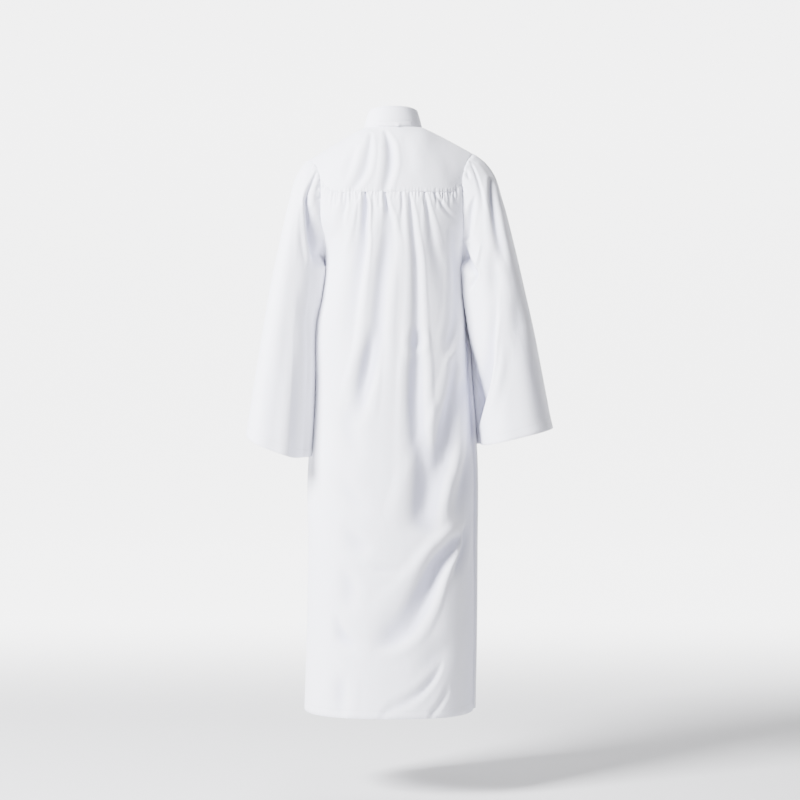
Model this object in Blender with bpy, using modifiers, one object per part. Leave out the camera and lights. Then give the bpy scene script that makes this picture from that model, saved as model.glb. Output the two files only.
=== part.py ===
"""White baptism robe in its worn form, hollow, with a gathered back, bell sleeves, a stand collar and a front zip.

Metres, +Z up. The robe faces -Y, so its wearer's left is +X. The origin is where it hangs: between the shoulders,
at the level of the seam where the collar meets the yoke at the nape.
"""

import math

import bmesh
import bpy
import numpy as np

# Cloth and seams
WALL = 0.0016
SEAM_GAP = 0.0004
STITCHED_STRIP = 0.0025

# Neck and collar
NECK_BACK = 0.062
NECK_FRONT = 0.076
NECK_LEFT = (0.066, 0.005)
NECK_RIGHT = (0.069, 0.006)
NECK_FRONT_LEVEL = -0.056
COLLAR_WALL = 0.0024
COLLAR_BACK_HEIGHT = 0.050
COLLAR_SIDE_HEIGHT = 0.038
COLLAR_FRONT_HEIGHT = 0.036
COLLAR_LEAN = 0.010
COLLAR_HALF_GAP = 0.0015
COLLAR_SEAM_GAP = 0.0009

# Shoulder ends of the yoke: sideways place and height
SHOULDER_LEFT = (0.1972, -0.0702)
SHOULDER_RIGHT = (0.1910, -0.0560)
NECK_SHARE = 0.36
NECK_RISE_POWER = 1.5
SHOULDER_FALL_POWER = 1.1

# Directions in which the back's cloth leaves the neck, the shoulder line and the edge at the armhole. The front's are
# their mirror images, and the leans turn them sideways.
FROM_NECK = (0.0, 0.64, -0.77)
OVER_SHOULDER = (0.0, 1.0, -0.06)
AT_ARMHOLE = (0.0, 0.97, 0.09)
ARMHOLE_LEAN = 0.25
ARMHOLE_LEAN_SHARE = 0.25
NECK_SIDE_LEAN = 0.3
NECK_SIDE_LEAN_SHARE = 0.2
SHOULDER_FULLNESS = 1.1

# Seams across the body, and the hem
YOKE_SEAM_LEVEL = -0.1545
YOKE_SEAM_RISE_LEFT = 0.033
YOKE_SEAM_RISE_RIGHT = 0.026
SEAM_RISE_SHARE = 0.30
SEAM_RISE_POWER = 1.6
SEAM_GAP_WIDENING = 2.5
CHEST_LEVEL = -0.150
UNDERARM_LEVEL = -0.325
HEM_LEVEL = -1.345

# Body outline at each height. left, right, back and front are half widths and half depths, and armhole is the angle
# in degrees from the side line at which the panels end there, 0 from the underarm down.
BODY_COLUMNS = ("height", "left", "right", "back", "front", "armhole")
BODY_ROWS = (
    (-0.100, 0.194, 0.186, 0.114, 0.104, 33),
    (-0.155, 0.189, 0.184, 0.126, 0.116, 32),
    (-0.210, 0.184, 0.181, 0.131, 0.124, 29),
    (-0.260, 0.162, 0.171, 0.133, 0.128, 20),
    (-0.300, 0.156, 0.163, 0.135, 0.130, 8),
    (-0.325, 0.158, 0.164, 0.136, 0.131, 0),
    (-0.395, 0.170, 0.170, 0.138, 0.133, 0),
    (-0.435, 0.180, 0.175, 0.139, 0.134, 0),
    (-0.500, 0.186, 0.181, 0.141, 0.136, 0),
    (-0.590, 0.184, 0.187, 0.144, 0.139, 0),
    (-0.680, 0.188, 0.194, 0.147, 0.143, 0),
    (-0.770, 0.196, 0.199, 0.150, 0.147, 0),
    (-0.980, 0.197, 0.199, 0.157, 0.155, 0),
    (-1.210, 0.201, 0.197, 0.163, 0.162, 0),
    (-1.345, 0.205, 0.194, 0.166, 0.166, 0),
)
SECTION_SQUARENESS = 0.85

# Sleeves. Each row is one ring: its share of the way from armhole to cuff, the outermost and innermost points as
# sideways place and height, how far the ring reaches back and forward, and how far its back hangs below its middle.
SLEEVE_COLUMNS = ("share", "outer", "outer_height", "inner", "inner_height", "back", "front", "back_drop")
SLEEVE_LEFT_ROWS = (
    (0.00, 0.1980, -0.0705, 0.1600, -0.3250, 0.074, 0.070, 0.000),
    (0.05, 0.2130, -0.0865, 0.1670, -0.3310, 0.084, 0.078, 0.000),
    (0.12, 0.2290, -0.1145, 0.1720, -0.3500, 0.094, 0.088, 0.000),
    (0.24, 0.2430, -0.1750, 0.1790, -0.4050, 0.103, 0.098, 0.000),
    (0.40, 0.2610, -0.2580, 0.1915, -0.4700, 0.111, 0.108, 0.000),
    (0.60, 0.2890, -0.3920, 0.1920, -0.5500, 0.122, 0.120, 0.004),
    (0.80, 0.3150, -0.5500, 0.1960, -0.6500, 0.134, 0.132, 0.010),
    (1.00, 0.3387, -0.7013, 0.2030, -0.7520, 0.146, 0.145, 0.016),
)
SLEEVE_RIGHT_ROWS = (
    (0.00, 0.1920, -0.0563, 0.1660, -0.3250, 0.074, 0.070, 0.000),
    (0.05, 0.2140, -0.0720, 0.1720, -0.3310, 0.084, 0.078, 0.000),
    (0.12, 0.2370, -0.1010, 0.1760, -0.3500, 0.094, 0.088, 0.000),
    (0.24, 0.2580, -0.1690, 0.1780, -0.4000, 0.104, 0.098, 0.000),
    (0.40, 0.2790, -0.2520, 0.1880, -0.4700, 0.112, 0.108, 0.000),
    (0.60, 0.3110, -0.3900, 0.1935, -0.5500, 0.124, 0.120, 0.002),
    (0.80, 0.3430, -0.5400, 0.2000, -0.6400, 0.137, 0.133, 0.003),
    (1.00, 0.3718, -0.6894, 0.2040, -0.7300, 0.150, 0.146, 0.004),
)
SLEEVE_ROUNDNESS = 0.92
SLEEVE_FRONT_LIFT = 0.5
SLEEVE_SETTLED_SHARE = 0.30
SLEEVE_FLAT_SHARE = 0.012
SLEEVE_SEAM_GAP = 0.0008

# Folds. Each row names one fold and gives its path as sideways place and height from its top down, its half width at
# both ends, its depth at the top, middle and foot, and how much steeper its right flank is than its left one, seen
# from behind. A negative depth makes a ridge.
FOLD_COLUMNS = ("name", "path", "widths", "depths", "steepness")
BACK_FOLDS = (
    ("gather_01", ((0.127, -0.158), (0.131, -0.180)), (0.005, 0.006), (0.003, 0.002, 0.0), 0.0),
    ("gather_02", ((0.111, -0.159), (0.118, -0.187), (0.124, -0.238)), (0.006, 0.011), (0.006, 0.005, 0.0), 0.2),
    ("gather_03", ((0.092, -0.159), (0.098, -0.185)), (0.005, 0.006), (0.004, 0.003, 0.0), 0.0),
    (
        "gather_04",
        ((0.067, -0.159), (0.071, -0.215), (0.086, -0.295), (0.104, -0.390), (0.118, -0.520)),
        (0.008, 0.026),
        (0.011, 0.007, 0.0),
        0.3,
    ),
    ("gather_05", ((0.048, -0.158), (0.050, -0.205)), (0.006, 0.007), (0.004, 0.002, 0.0), 0.0),
    (
        "gather_06",
        ((0.016, -0.158), (0.020, -0.210), (0.028, -0.300), (0.046, -0.430), (0.076, -0.610)),
        (0.008, 0.038),
        (0.011, 0.008, 0.0),
        0.2,
    ),
    ("gather_07", ((0.001, -0.158), (0.001, -0.182)), (0.005, 0.006), (0.003, 0.002, 0.0), 0.0),
    ("gather_08", ((-0.021, -0.158), (-0.013, -0.240), (-0.014, -0.290)), (0.006, 0.010), (0.006, 0.005, 0.0), 0.0),
    (
        "gather_09",
        ((-0.040, -0.158), (-0.051, -0.240), (-0.056, -0.380), (-0.057, -0.540), (-0.062, -0.690)),
        (0.008, 0.024),
        (0.009, 0.013, 0.0),
        -0.4,
    ),
    ("gather_10", ((-0.056, -0.157), (-0.059, -0.190)), (0.005, 0.006), (0.004, 0.003, 0.0), 0.0),
    ("gather_11", ((-0.075, -0.157), (-0.084, -0.230), (-0.104, -0.350)), (0.007, 0.018), (0.009, 0.006, 0.0), 0.1),
    ("gather_12", ((-0.093, -0.156), (-0.112, -0.195), (-0.138, -0.222)), (0.005, 0.006), (0.005, 0.004, 0.0), 0.0),
    ("gather_13", ((-0.112, -0.155), (-0.124, -0.176)), (0.005, 0.005), (0.004, 0.003, 0.0), 0.0),
    ("gather_14", ((-0.131, -0.153), (-0.137, -0.172)), (0.005, 0.005), (0.004, 0.003, 0.0), 0.0),
    (
        "side_hollow",
        ((-0.126, -0.230), (-0.131, -0.330), (-0.140, -0.430), (-0.112, -0.560), (-0.098, -0.700)),
        (0.012, 0.030),
        (0.005, 0.009, 0.0),
        0.0,
    ),
    (
        "hip_hollow",
        ((-0.148, -0.640), (-0.118, -0.740), (-0.070, -0.830), (-0.042, -0.960)),
        (0.020, 0.040),
        (0.010, 0.012, 0.0),
        0.2,
    ),
    (
        "hip_ridge",
        ((-0.148, -0.730), (-0.112, -0.820), (-0.085, -0.930)),
        (0.014, 0.028),
        (-0.004, -0.008, 0.0),
        0.0,
    ),
    (
        "long_diagonal",
        ((-0.152, -0.925), (-0.110, -0.975), (-0.072, -1.030), (-0.030, -1.110), (0.022, -1.145), (0.068, -1.160)),
        (0.014, 0.038),
        (0.007, 0.016, 0.0),
        0.45,
    ),
    ("side_crease", ((-0.168, -0.925), (-0.156, -0.970), (-0.142, -1.030)), (0.012, 0.018), (0.004, 0.009, 0.0), 0.3),
    (
        "hem_diagonal",
        ((-0.112, -1.220), (-0.078, -1.262), (-0.020, -1.292), (0.020, -1.325)),
        (0.012, 0.022),
        (0.003, 0.008, 0.002),
        0.2,
    ),
    ("hem_pleat", ((-0.118, -1.280), (-0.092, -1.338)), (0.012, 0.016), (0.003, 0.006, 0.004), 0.0),
)
BACK_PUFF = 0.004
BACK_PUFF_LENGTH = 0.012
BACK_PUFF_END = 0.30
BACK_FOLD_START = 0.008
BACK_SIDE_FADE = 0.06

FRONT_FOLDS = (
    ("chest_left", ((0.098, -0.150), (0.108, -0.330), (0.100, -0.560)), (0.020, 0.030), (0.003, 0.008, 0.0), 0.1),
    ("chest_right", ((-0.094, -0.14), (-0.102, -0.31), (-0.094, -0.52)), (0.020, 0.030), (0.003, 0.008, 0.0), -0.1),
    ("waist_left", ((0.060, -0.420), (0.072, -0.640), (0.066, -0.900)), (0.022, 0.032), (0.002, 0.008, 0.0), 0.0),
    ("waist_right", ((-0.056, -0.380), (-0.070, -0.620), (-0.082, -0.860)), (0.022, 0.032), (0.002, 0.009, 0.0), 0.1),
    ("skirt_left", ((0.120, -0.760), (0.112, -1.000), (0.126, -1.330)), (0.026, 0.040), (0.002, 0.010, 0.006), 0.1),
    ("skirt_right", ((-0.124, -0.70), (-0.112, -0.98), (-0.120, -1.33)), (0.026, 0.040), (0.002, 0.010, 0.006), 0.0),
)

SLEEVE_LEFT_BACK_FOLDS = (
    ("head_1", ((0.178, -0.088), (0.186, -0.125), (0.196, -0.165)), (0.005, 0.009), (0.004, 0.006, 0.004), 0.0),
    ("arm_hollow", ((0.198, -0.165), (0.197, -0.225), (0.186, -0.300)), (0.010, 0.014), (0.006, 0.012, 0.0), -0.2),
    ("seam_crease", ((0.170, -0.140), (0.166, -0.215), (0.162, -0.285)), (0.005, 0.008), (0.003, 0.005, 0.0), 0.2),
    ("long_soft", ((0.208, -0.330), (0.216, -0.500), (0.232, -0.730)), (0.018, 0.034), (0.002, 0.009, 0.004), 0.0),
    ("outer_soft", ((0.262, -0.420), (0.276, -0.560), (0.292, -0.720)), (0.016, 0.026), (0.001, 0.005, 0.003), 0.0),
)
SLEEVE_RIGHT_BACK_FOLDS = (
    ("head_1", ((-0.176, -0.076), (-0.178, -0.116)), (0.005, 0.007), (0.004, 0.005, 0.0), 0.0),
    ("head_2", ((-0.186, -0.080), (-0.203, -0.150), (-0.205, -0.205)), (0.005, 0.008), (0.003, 0.005, 0.0), 0.0),
    ("arm_hollow", ((-0.228, -0.125), (-0.227, -0.215), (-0.236, -0.300)), (0.014, 0.017), (0.004, 0.008, 0.0), 0.0),
    ("inner_hollow", ((-0.180, -0.155), (-0.173, -0.215), (-0.169, -0.260)), (0.007, 0.010), (0.004, 0.010, 0.0), 0.0),
    ("underarm", ((-0.204, -0.275), (-0.186, -0.345), (-0.176, -0.400)), (0.009, 0.012), (0.002, 0.008, 0.0), 0.3),
    ("bell_edge", ((-0.232, -0.520), (-0.212, -0.610), (-0.198, -0.700)), (0.014, 0.022), (0.002, 0.018, 0.010), 0.5),
    ("outer_soft", ((-0.262, -0.360), (-0.268, -0.480), (-0.278, -0.600)), (0.016, 0.028), (0.002, 0.006, 0.0), 0.0),
)
SLEEVE_LEFT_FRONT_FOLDS = (
    ("arm_hollow", ((0.200, -0.150), (0.204, -0.230), (0.198, -0.310)), (0.010, 0.016), (0.004, 0.011, 0.0), 0.0),
    ("long_soft", ((0.222, -0.330), (0.232, -0.520), (0.246, -0.720)), (0.020, 0.036), (0.002, 0.010, 0.005), 0.1),
)
SLEEVE_RIGHT_FRONT_FOLDS = (
    ("arm_hollow", ((-0.206, -0.140), (-0.212, -0.230), (-0.206, -0.320)), (0.010, 0.016), (0.004, 0.011, 0.0), 0.0),
    ("long_soft", ((-0.230, -0.320), (-0.242, -0.500), (-0.262, -0.700)), (0.020, 0.036), (0.002, 0.010, 0.005), 0.0),
)
FRONT_TOP_FADE_ROWS = 3
FRONT_SIDE_FADE = 0.10
SLEEVE_FOLD_FADE = 0.030
SLEEVE_HEAD_FADE = 0.04

# Zip at centre front
ZIP_HALF_GAP = 0.0055
ZIP_FOOT_LEVEL = -0.700
ZIP_FOOT_FADE = 0.030
ZIP_TAPE_WIDTH = 0.030
ZIP_TAPE_WALL = 0.0010
ZIP_TAPE_COLUMNS = (0.5, 0.2, -0.2, -0.5)
ZIP_TAPE_BOW = 2.2
ZIP_TAPE_HEAD = 0.004
ZIP_TAPE_FOOT = 0.012
SLIDER_WIDTH = 0.0080
SLIDER_LENGTH = 0.0110
SLIDER_DEPTH = 0.0048
SLIDER_LEVEL = -0.072
SLIDER_EDGE = 0.0006
BRIDGE_WIDTH = 0.0022
BRIDGE_HEIGHT = 0.0034
BRIDGE_LENGTH = 0.0072
BRIDGE_BAR = 0.0010
BRIDGE_EDGE = 0.0003
SLOT_FLOOR = 0.0001
PULL_WIDTH = 0.0064
PULL_LENGTH = 0.0260
PULL_THICKNESS = 0.0010
PULL_HEAD = 0.0006
PULL_WINDOW_LENGTH = 0.0056
PULL_EDGE = 0.0003
PULL_CLEARANCE = 0.0004

# Strip along the nape
STRIP_WALL = 0.0016
STRIP_HEIGHT = 0.0120
STRIP_LEFT = 0.035
STRIP_RIGHT = -0.046
STRIP_FOOT = 0.0015
STRIP_CLEARANCE = 0.0004

# How finely each piece is divided
BACK_COLUMNS = 60
NECK_COLUMNS = 5
SHOULDER_COLUMNS = 8
TOP_SHARES = (0.0, 0.02, 0.12, 0.27, 0.45, 0.63, 0.82, 1.0)
ARMHOLE_ROWS = 9
BACK_SKIRT_ROWS = 12
FRONT_SKIRT_ROWS = 9
SKIRT_ROW_GROWTH = 1.1
SLEEVE_ROWS = 14
SLEEVE_ROW_GROWTH = 1.35
COLLAR_COLUMNS = 36
COLLAR_ROWS = 3
STRIP_COLUMNS = 12
PATH_SAMPLES = 24


def clear_scene():
    for old in list(bpy.data.objects):
        bpy.data.objects.remove(old, do_unlink=True)


def smooth_step(value):
    value = np.clip(value, 0.0, 1.0)
    return value * value * (3.0 - 2.0 * value)


def hermite(start, leave, end, arrive, share):
    """The cubic curve from start to end with the given directions at both ends."""
    square = share * share
    cube = square * share
    return (
        (2 * cube - 3 * square + 1) * start
        + (cube - 2 * square + share) * leave
        + (3 * square - 2 * cube) * end
        + (cube - square) * arrive
    )


def read_smoothly(places, values, at):
    """Reads a column of a table at any place along it, on a smooth curve through its rows."""
    order = np.argsort(places)
    places = np.asarray(places, float)[order]
    values = np.asarray(values, float)[order]
    slopes = np.gradient(values, places)
    at = np.clip(np.asarray(at, float), places[0], places[-1])
    row = np.clip(np.searchsorted(places, at) - 1, 0, len(places) - 2)
    step = places[row + 1] - places[row]
    share = (at - places[row]) / step
    return hermite(values[row], slopes[row] * step, values[row + 1], slopes[row + 1] * step, share)


def column(columns, rows, name):
    place = columns.index(name)
    return [row[place] for row in rows]


def body(name, level):
    return read_smoothly(column(BODY_COLUMNS, BODY_ROWS, "height"), column(BODY_COLUMNS, BODY_ROWS, name), level)


def normals_of(grid):
    """Outward unit normals of a grid of points whose columns run from the right of the robe to its left, seen from
    behind as the fold tables are."""
    down = np.gradient(grid, axis=0)
    across = np.gradient(grid, axis=1)
    normal = np.cross(across, down)
    return normal / np.linalg.norm(normal, axis=2, keepdims=True)


def path_points(path):
    """A smooth curve through the points of a fold's path."""
    path = np.asarray(path, float)
    knots = np.arange(len(path), dtype=float)
    at = np.linspace(0.0, len(path) - 1.0, PATH_SAMPLES)
    if len(path) == 2:
        return path[0] + (path[1] - path[0]) * (at / at[-1])[:, None]
    return np.stack([read_smoothly(knots, path[:, axis], at) for axis in (0, 1)], axis=1)


def fold_depth(sideways, heights, folds):
    """How far the folds of a table press the cloth in at each point, given by its sideways place and height."""
    total = np.zeros_like(sideways)
    for row in folds:
        fold = dict(zip(FOLD_COLUMNS, row))
        widths, depths = fold["widths"], fold["depths"]
        curve = path_points(fold["path"])
        start = curve[:-1]
        run = curve[1:] - start
        length = np.linalg.norm(run, axis=1)
        from_start = np.stack([sideways, heights], axis=-1)[..., None, :] - start
        along = np.clip((from_start * run).sum(-1) / length**2, 0.0, 1.0)
        away = from_start - along[..., None] * run
        distance = np.linalg.norm(away, axis=-1)
        nearest = distance.argmin(-1)
        reach = np.take_along_axis(distance, nearest[..., None], -1)[..., 0]
        part = np.take_along_axis(along, nearest[..., None], -1)[..., 0]
        near_run = run[nearest]
        near_start = start[nearest]
        left = np.sign(
            near_run[..., 0] * (heights - near_start[..., 1]) - near_run[..., 1] * (sideways - near_start[..., 0])
        )
        share = (nearest + part) / len(run)
        width = (widths[0] + (widths[1] - widths[0]) * share) * (1.0 + left * fold["steepness"])
        depth = np.where(
            share < 0.5,
            depths[0] + (depths[1] - depths[0]) * smooth_step(share * 2),
            depths[1] + (depths[2] - depths[1]) * smooth_step(share * 2 - 1),
        )
        total += depth * 0.5 * (1 + np.cos(np.pi * np.clip(reach / width, 0.0, 1.0)))
    return total


def section(face, across, level):
    """Points of the body at a level. face is 1 for the back and -1 for the front, and across runs from -1 at the
    wearer's right edge to 1 at the left edge."""
    armhole = np.radians(body("armhole", level))
    turn = across * (math.pi / 2 - armhole)
    half_width = np.where(across >= 0, body("left", level), body("right", level))
    half_depth = body("back" if face > 0 else "front", level)
    sideways = half_width * np.sign(turn) * np.abs(np.sin(turn)) ** SECTION_SQUARENESS
    depth = face * half_depth * np.abs(np.cos(turn)) ** SECTION_SQUARENESS
    return np.stack([sideways, depth + face * SEAM_GAP / 2, level], axis=-1)


def top_level(face, across):
    """Height of the yoke seam, or of the chest line at the front, which both rise towards the armholes."""
    base = YOKE_SEAM_LEVEL if face > 0 else CHEST_LEVEL
    rise = np.where(across >= 0, YOKE_SEAM_RISE_LEFT, YOKE_SEAM_RISE_RIGHT)
    climb = np.clip((np.abs(across) - 1.0 + SEAM_RISE_SHARE) / SEAM_RISE_SHARE, 0.0, 1.0)
    return base + rise * climb**SEAM_RISE_POWER


def lower_level(face, across, drop):
    """Height of a point drop below the seam, where the seam's rise fades out by the underarm."""
    base = YOKE_SEAM_LEVEL if face > 0 else CHEST_LEVEL
    fade = 1.0 - smooth_step(drop / (base - UNDERARM_LEVEL))
    return base - drop + (top_level(face, across) - base) * fade


def shoulder_and_neck(face, across):
    """The upper edge of the yoke and of the fronts: the neck seam, then the shoulder line out to the armhole."""
    left = across >= 0
    neck_side = np.where(left, NECK_LEFT[0], NECK_RIGHT[0])
    neck_height = np.where(left, NECK_LEFT[1], NECK_RIGHT[1])
    end_side = np.where(left, SHOULDER_LEFT[0], SHOULDER_RIGHT[0])
    end_height = np.where(left, SHOULDER_LEFT[1], SHOULDER_RIGHT[1])
    turn = np.clip(np.abs(across) / NECK_SHARE, 0.0, 1.0) * math.pi / 2
    out = np.clip((np.abs(across) - NECK_SHARE) / (1 - NECK_SHARE), 0.0, 1.0)
    middle_height = 0.0 if face > 0 else NECK_FRONT_LEVEL
    reach = NECK_BACK if face > 0 else NECK_FRONT
    sideways = np.sign(across) * (neck_side * np.sin(turn) + (end_side - neck_side) * out)
    depth = face * (reach * np.cos(turn) + SEAM_GAP / 2)
    height = middle_height + (neck_height - middle_height) * np.sin(turn) ** NECK_RISE_POWER
    height = height + (end_height - neck_height) * out**SHOULDER_FALL_POWER
    return np.stack([sideways, depth, height], axis=-1)


def upper_cloth(face, across, share):
    """Cloth between its upper edge and the seam or chest line, rounded over the shoulder."""
    start = shoulder_and_neck(face, across)
    level = top_level(face, across)
    end = section(face, across, level)
    below = section(face, across, level - 0.004)
    chord = np.linalg.norm(end - start, axis=-1, keepdims=True)
    arrive = (below - end) / np.linalg.norm(below - end, axis=-1, keepdims=True) * chord
    over = smooth_step(np.abs(across) / NECK_SHARE)[..., None]
    edge = smooth_step((np.abs(across) - 1.0 + ARMHOLE_LEAN_SHARE) / ARMHOLE_LEAN_SHARE)[..., None]
    to_face = np.array([1.0, face, 1.0])
    to_side = np.sign(across)[..., None] * np.array([1.0, 0.0, 0.0])
    at_armhole = AT_ARMHOLE * to_face - to_side * ARMHOLE_LEAN
    beside_neck = over * (1 - smooth_step((np.abs(across) - NECK_SHARE) / NECK_SIDE_LEAN_SHARE)[..., None])
    leave = FROM_NECK * to_face * (1 - over) + OVER_SHOULDER * to_face * over
    leave = leave + to_side * NECK_SIDE_LEAN * beside_neck
    leave = (leave * (1 - edge) + at_armhole * edge) * chord * SHOULDER_FULLNESS
    return hermite(start, leave, end, arrive, share[..., None])


def drops(face, skirt_rows):
    """How far each row of a panel lies below its seam or chest line: close together at both ends of the armhole, then
    wider apart down to the hem."""
    base = YOKE_SEAM_LEVEL if face > 0 else CHEST_LEVEL
    share = (1 - np.cos(np.pi * np.arange(ARMHOLE_ROWS + 1) / ARMHOLE_ROWS)) / 2
    beside_sleeve = STITCHED_STRIP + (base - UNDERARM_LEVEL - STITCHED_STRIP) * share
    share = (np.arange(1, skirt_rows + 1) / skirt_rows) ** SKIRT_ROW_GROWTH
    return np.concatenate([[0.0], beside_sleeve, base - UNDERARM_LEVEL + (UNDERARM_LEVEL - HEM_LEVEL) * share])


def half_columns():
    """Columns from the middle to the armhole, with one where the neck meets the shoulder."""
    neck = np.linspace(0, NECK_SHARE, NECK_COLUMNS + 1)
    return np.concatenate([neck, np.linspace(NECK_SHARE, 1, SHOULDER_COLUMNS + 1)[1:]])


def seam_gap_at(across):
    """Height by which the back panel starts under the yoke, more where the seam climbs to the armholes."""
    climbing = smooth_step((np.abs(across) - 1.0 + SEAM_RISE_SHARE) / (SEAM_RISE_SHARE / 2))
    return SEAM_GAP * (1.0 + SEAM_GAP_WIDENING * climbing)


def yoke_grid():
    half = half_columns()
    across, share = np.meshgrid(np.concatenate([-half[:0:-1], half]), TOP_SHARES)
    return upper_cloth(1, across, share)


def back_grid():
    across, drop = np.meshgrid(np.linspace(-1, 1, BACK_COLUMNS + 1), drops(1, BACK_SKIRT_ROWS))
    grid = section(1, across, lower_level(1, across, drop) - seam_gap_at(across))
    normal = normals_of(grid)
    free = smooth_step((drop - STITCHED_STRIP) / BACK_FOLD_START)
    free = free * smooth_step((1.0 - np.abs(across)) / BACK_SIDE_FADE)
    puff = BACK_PUFF * (1 - np.exp(-drop / BACK_PUFF_LENGTH)) * (1 - smooth_step(drop / BACK_PUFF_END))
    relief = (puff - fold_depth(grid[..., 0], grid[..., 2], BACK_FOLDS)) * free
    return grid + normal * relief[..., None]


def front_grid(side):
    """One front, from the zip edge to the side seam. side is 1 for the wearer's left and -1 for the right."""
    share_across = half_columns() * side
    nudge = side * 1e-6
    across, share = np.meshgrid(share_across + nudge * (share_across == 0), TOP_SHARES)
    upper = upper_cloth(-1, across, share)
    across, drop = np.meshgrid(across[0], drops(-1, FRONT_SKIRT_ROWS)[1:])
    lower = section(-1, across, lower_level(-1, across, drop))
    grid = np.concatenate([upper, lower])
    normal = normals_of(grid) * -side
    from_top = np.arange(len(grid))[:, None]
    free = smooth_step(from_top / FRONT_TOP_FADE_ROWS)
    free = free * smooth_step((1.0 - np.abs(share_across)) / FRONT_SIDE_FADE)[None, :]
    grid = grid - normal * (fold_depth(grid[..., 0], grid[..., 2], FRONT_FOLDS) * free)[..., None]
    closed = smooth_step((ZIP_FOOT_LEVEL - grid[..., 2]) / ZIP_FOOT_FADE)
    edge = ZIP_HALF_GAP * (1 - closed) + SEAM_GAP / 2 * closed
    keep = 1.0 - np.abs(share_across)[None, :]
    grid[..., 0] += side * edge * keep
    return grid


def armhole_loop(side):
    """Points round an armhole, at the rows of the pieces that end there, from the shoulder down the back to the
    underarm and up the front, and each one's turn round the sleeve from its outer line."""
    lines = []
    turns = []
    for face in (1, -1):
        along = np.full(len(TOP_SHARES), float(side))
        upper = upper_cloth(face, along, np.array(TOP_SHARES))
        down = drops(face, 1)[1:-1]
        along = np.full(len(down), float(side))
        lower = section(face, along, lower_level(face, along, down))
        line = np.concatenate([upper, lower])
        line[[0, -1], 1] = 0.0
        length = np.concatenate([[0.0], np.cumsum(np.linalg.norm(np.diff(line, axis=0), axis=1))])
        lines.append(line)
        turns.append(math.pi * length / length[-1])
    loop = np.concatenate([lines[0], lines[1][-2:0:-1]])
    return loop, np.concatenate([turns[0], 2 * math.pi - turns[1][-2:0:-1]])


def sleeve_ring(rows, side, turn, share):
    """A point of a sleeve that hangs free of its seam, by its turn from the outer line and its share of the length."""
    places = column(SLEEVE_COLUMNS, rows, "share")
    read = {name: read_smoothly(places, column(SLEEVE_COLUMNS, rows, name), share) for name in SLEEVE_COLUMNS[1:]}
    reach = np.sign(np.cos(turn)) * np.abs(np.cos(turn)) ** SLEEVE_ROUNDNESS
    lean = np.sign(np.sin(turn)) * np.abs(np.sin(turn)) ** SLEEVE_ROUNDNESS
    sideways = (read["outer"] + read["inner"]) / 2 + (read["outer"] - read["inner"]) / 2 * reach
    height = (read["outer_height"] + read["inner_height"]) / 2
    height = height + (read["outer_height"] - read["inner_height"]) / 2 * reach
    height = height - read["back_drop"] * np.where(lean > 0, lean, -SLEEVE_FRONT_LIFT * lean)
    depth = np.where(lean > 0, read["back"], read["front"]) * lean
    return np.stack([side * sideways, depth, height], axis=-1)


def sleeve_grid(side):
    rows = SLEEVE_LEFT_ROWS if side > 0 else SLEEVE_RIGHT_ROWS
    loop, turn = armhole_loop(side)
    further = (np.arange(1, SLEEVE_ROWS + 1) / SLEEVE_ROWS) ** SLEEVE_ROW_GROWTH
    shares = np.concatenate([[0.0, SLEEVE_FLAT_SHARE], SLEEVE_FLAT_SHARE + (1 - SLEEVE_FLAT_SHARE) * further])
    turns, share = np.meshgrid(turn, shares)
    hanging = sleeve_ring(rows, side, turns, share)
    settled = smooth_step(share / SLEEVE_SETTLED_SHARE)[..., None]
    first = sleeve_ring(rows, side, turns, share * 0)
    grid = hanging + (loop[None] - first) * (1 - settled)
    outwards = grid[2] - grid[0]
    outwards = outwards / np.linalg.norm(outwards, axis=1, keepdims=True)
    grid[0] = loop + outwards * SLEEVE_SEAM_GAP
    wrapped = np.concatenate([grid[:, -1:], grid, grid[:, :1]], axis=1)
    normal = normals_of(wrapped)[:, 1:-1] * -side
    free = smooth_step((share - SLEEVE_FLAT_SHARE) / SLEEVE_HEAD_FADE)
    behind = smooth_step(grid[..., 1] / SLEEVE_FOLD_FADE)
    before = smooth_step(-grid[..., 1] / SLEEVE_FOLD_FADE)
    back_folds = SLEEVE_LEFT_BACK_FOLDS if side > 0 else SLEEVE_RIGHT_BACK_FOLDS
    front_folds = SLEEVE_LEFT_FRONT_FOLDS if side > 0 else SLEEVE_RIGHT_FRONT_FOLDS
    depth = fold_depth(grid[..., 0], grid[..., 2], back_folds) * behind
    depth = depth + fold_depth(grid[..., 0], grid[..., 2], front_folds) * before
    return grid - normal * (depth * free)[..., None]


def collar_points(turn, share):
    """Points of the collar's outer face. turn is the angle round the neck from the nape, positive to the left."""
    face = np.where(np.cos(turn) >= 0, 1, -1)
    across = np.where(face > 0, turn, np.sign(turn) * (math.pi - np.abs(turn))) / (math.pi / 2) * NECK_SHARE
    base = np.where(face[..., None] > 0, shoulder_and_neck(1, across), shoulder_and_neck(-1, across))
    facing = np.cos(turn)
    back_height = COLLAR_SIDE_HEIGHT + (COLLAR_BACK_HEIGHT - COLLAR_SIDE_HEIGHT) * np.abs(facing) ** 1.5
    front_height = COLLAR_SIDE_HEIGHT + (COLLAR_FRONT_HEIGHT - COLLAR_SIDE_HEIGHT) * np.abs(facing)
    height = np.where(facing >= 0, back_height, front_height)
    lean = 1.0 - COLLAR_LEAN / NECK_LEFT[0] * share
    level = base[..., 2] + COLLAR_SEAM_GAP + height * share
    return np.stack([base[..., 0] * lean, base[..., 1] * lean, level], axis=-1)


def collar_grid():
    """The stand collar, from its right end at the zip round the nape to its left end."""
    end = math.pi - math.asin(COLLAR_HALF_GAP / NECK_FRONT)
    turn, share = np.meshgrid(np.linspace(-end, end, COLLAR_COLUMNS + 1), np.linspace(0, 1, COLLAR_ROWS + 1))
    return collar_points(turn, share)


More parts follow.
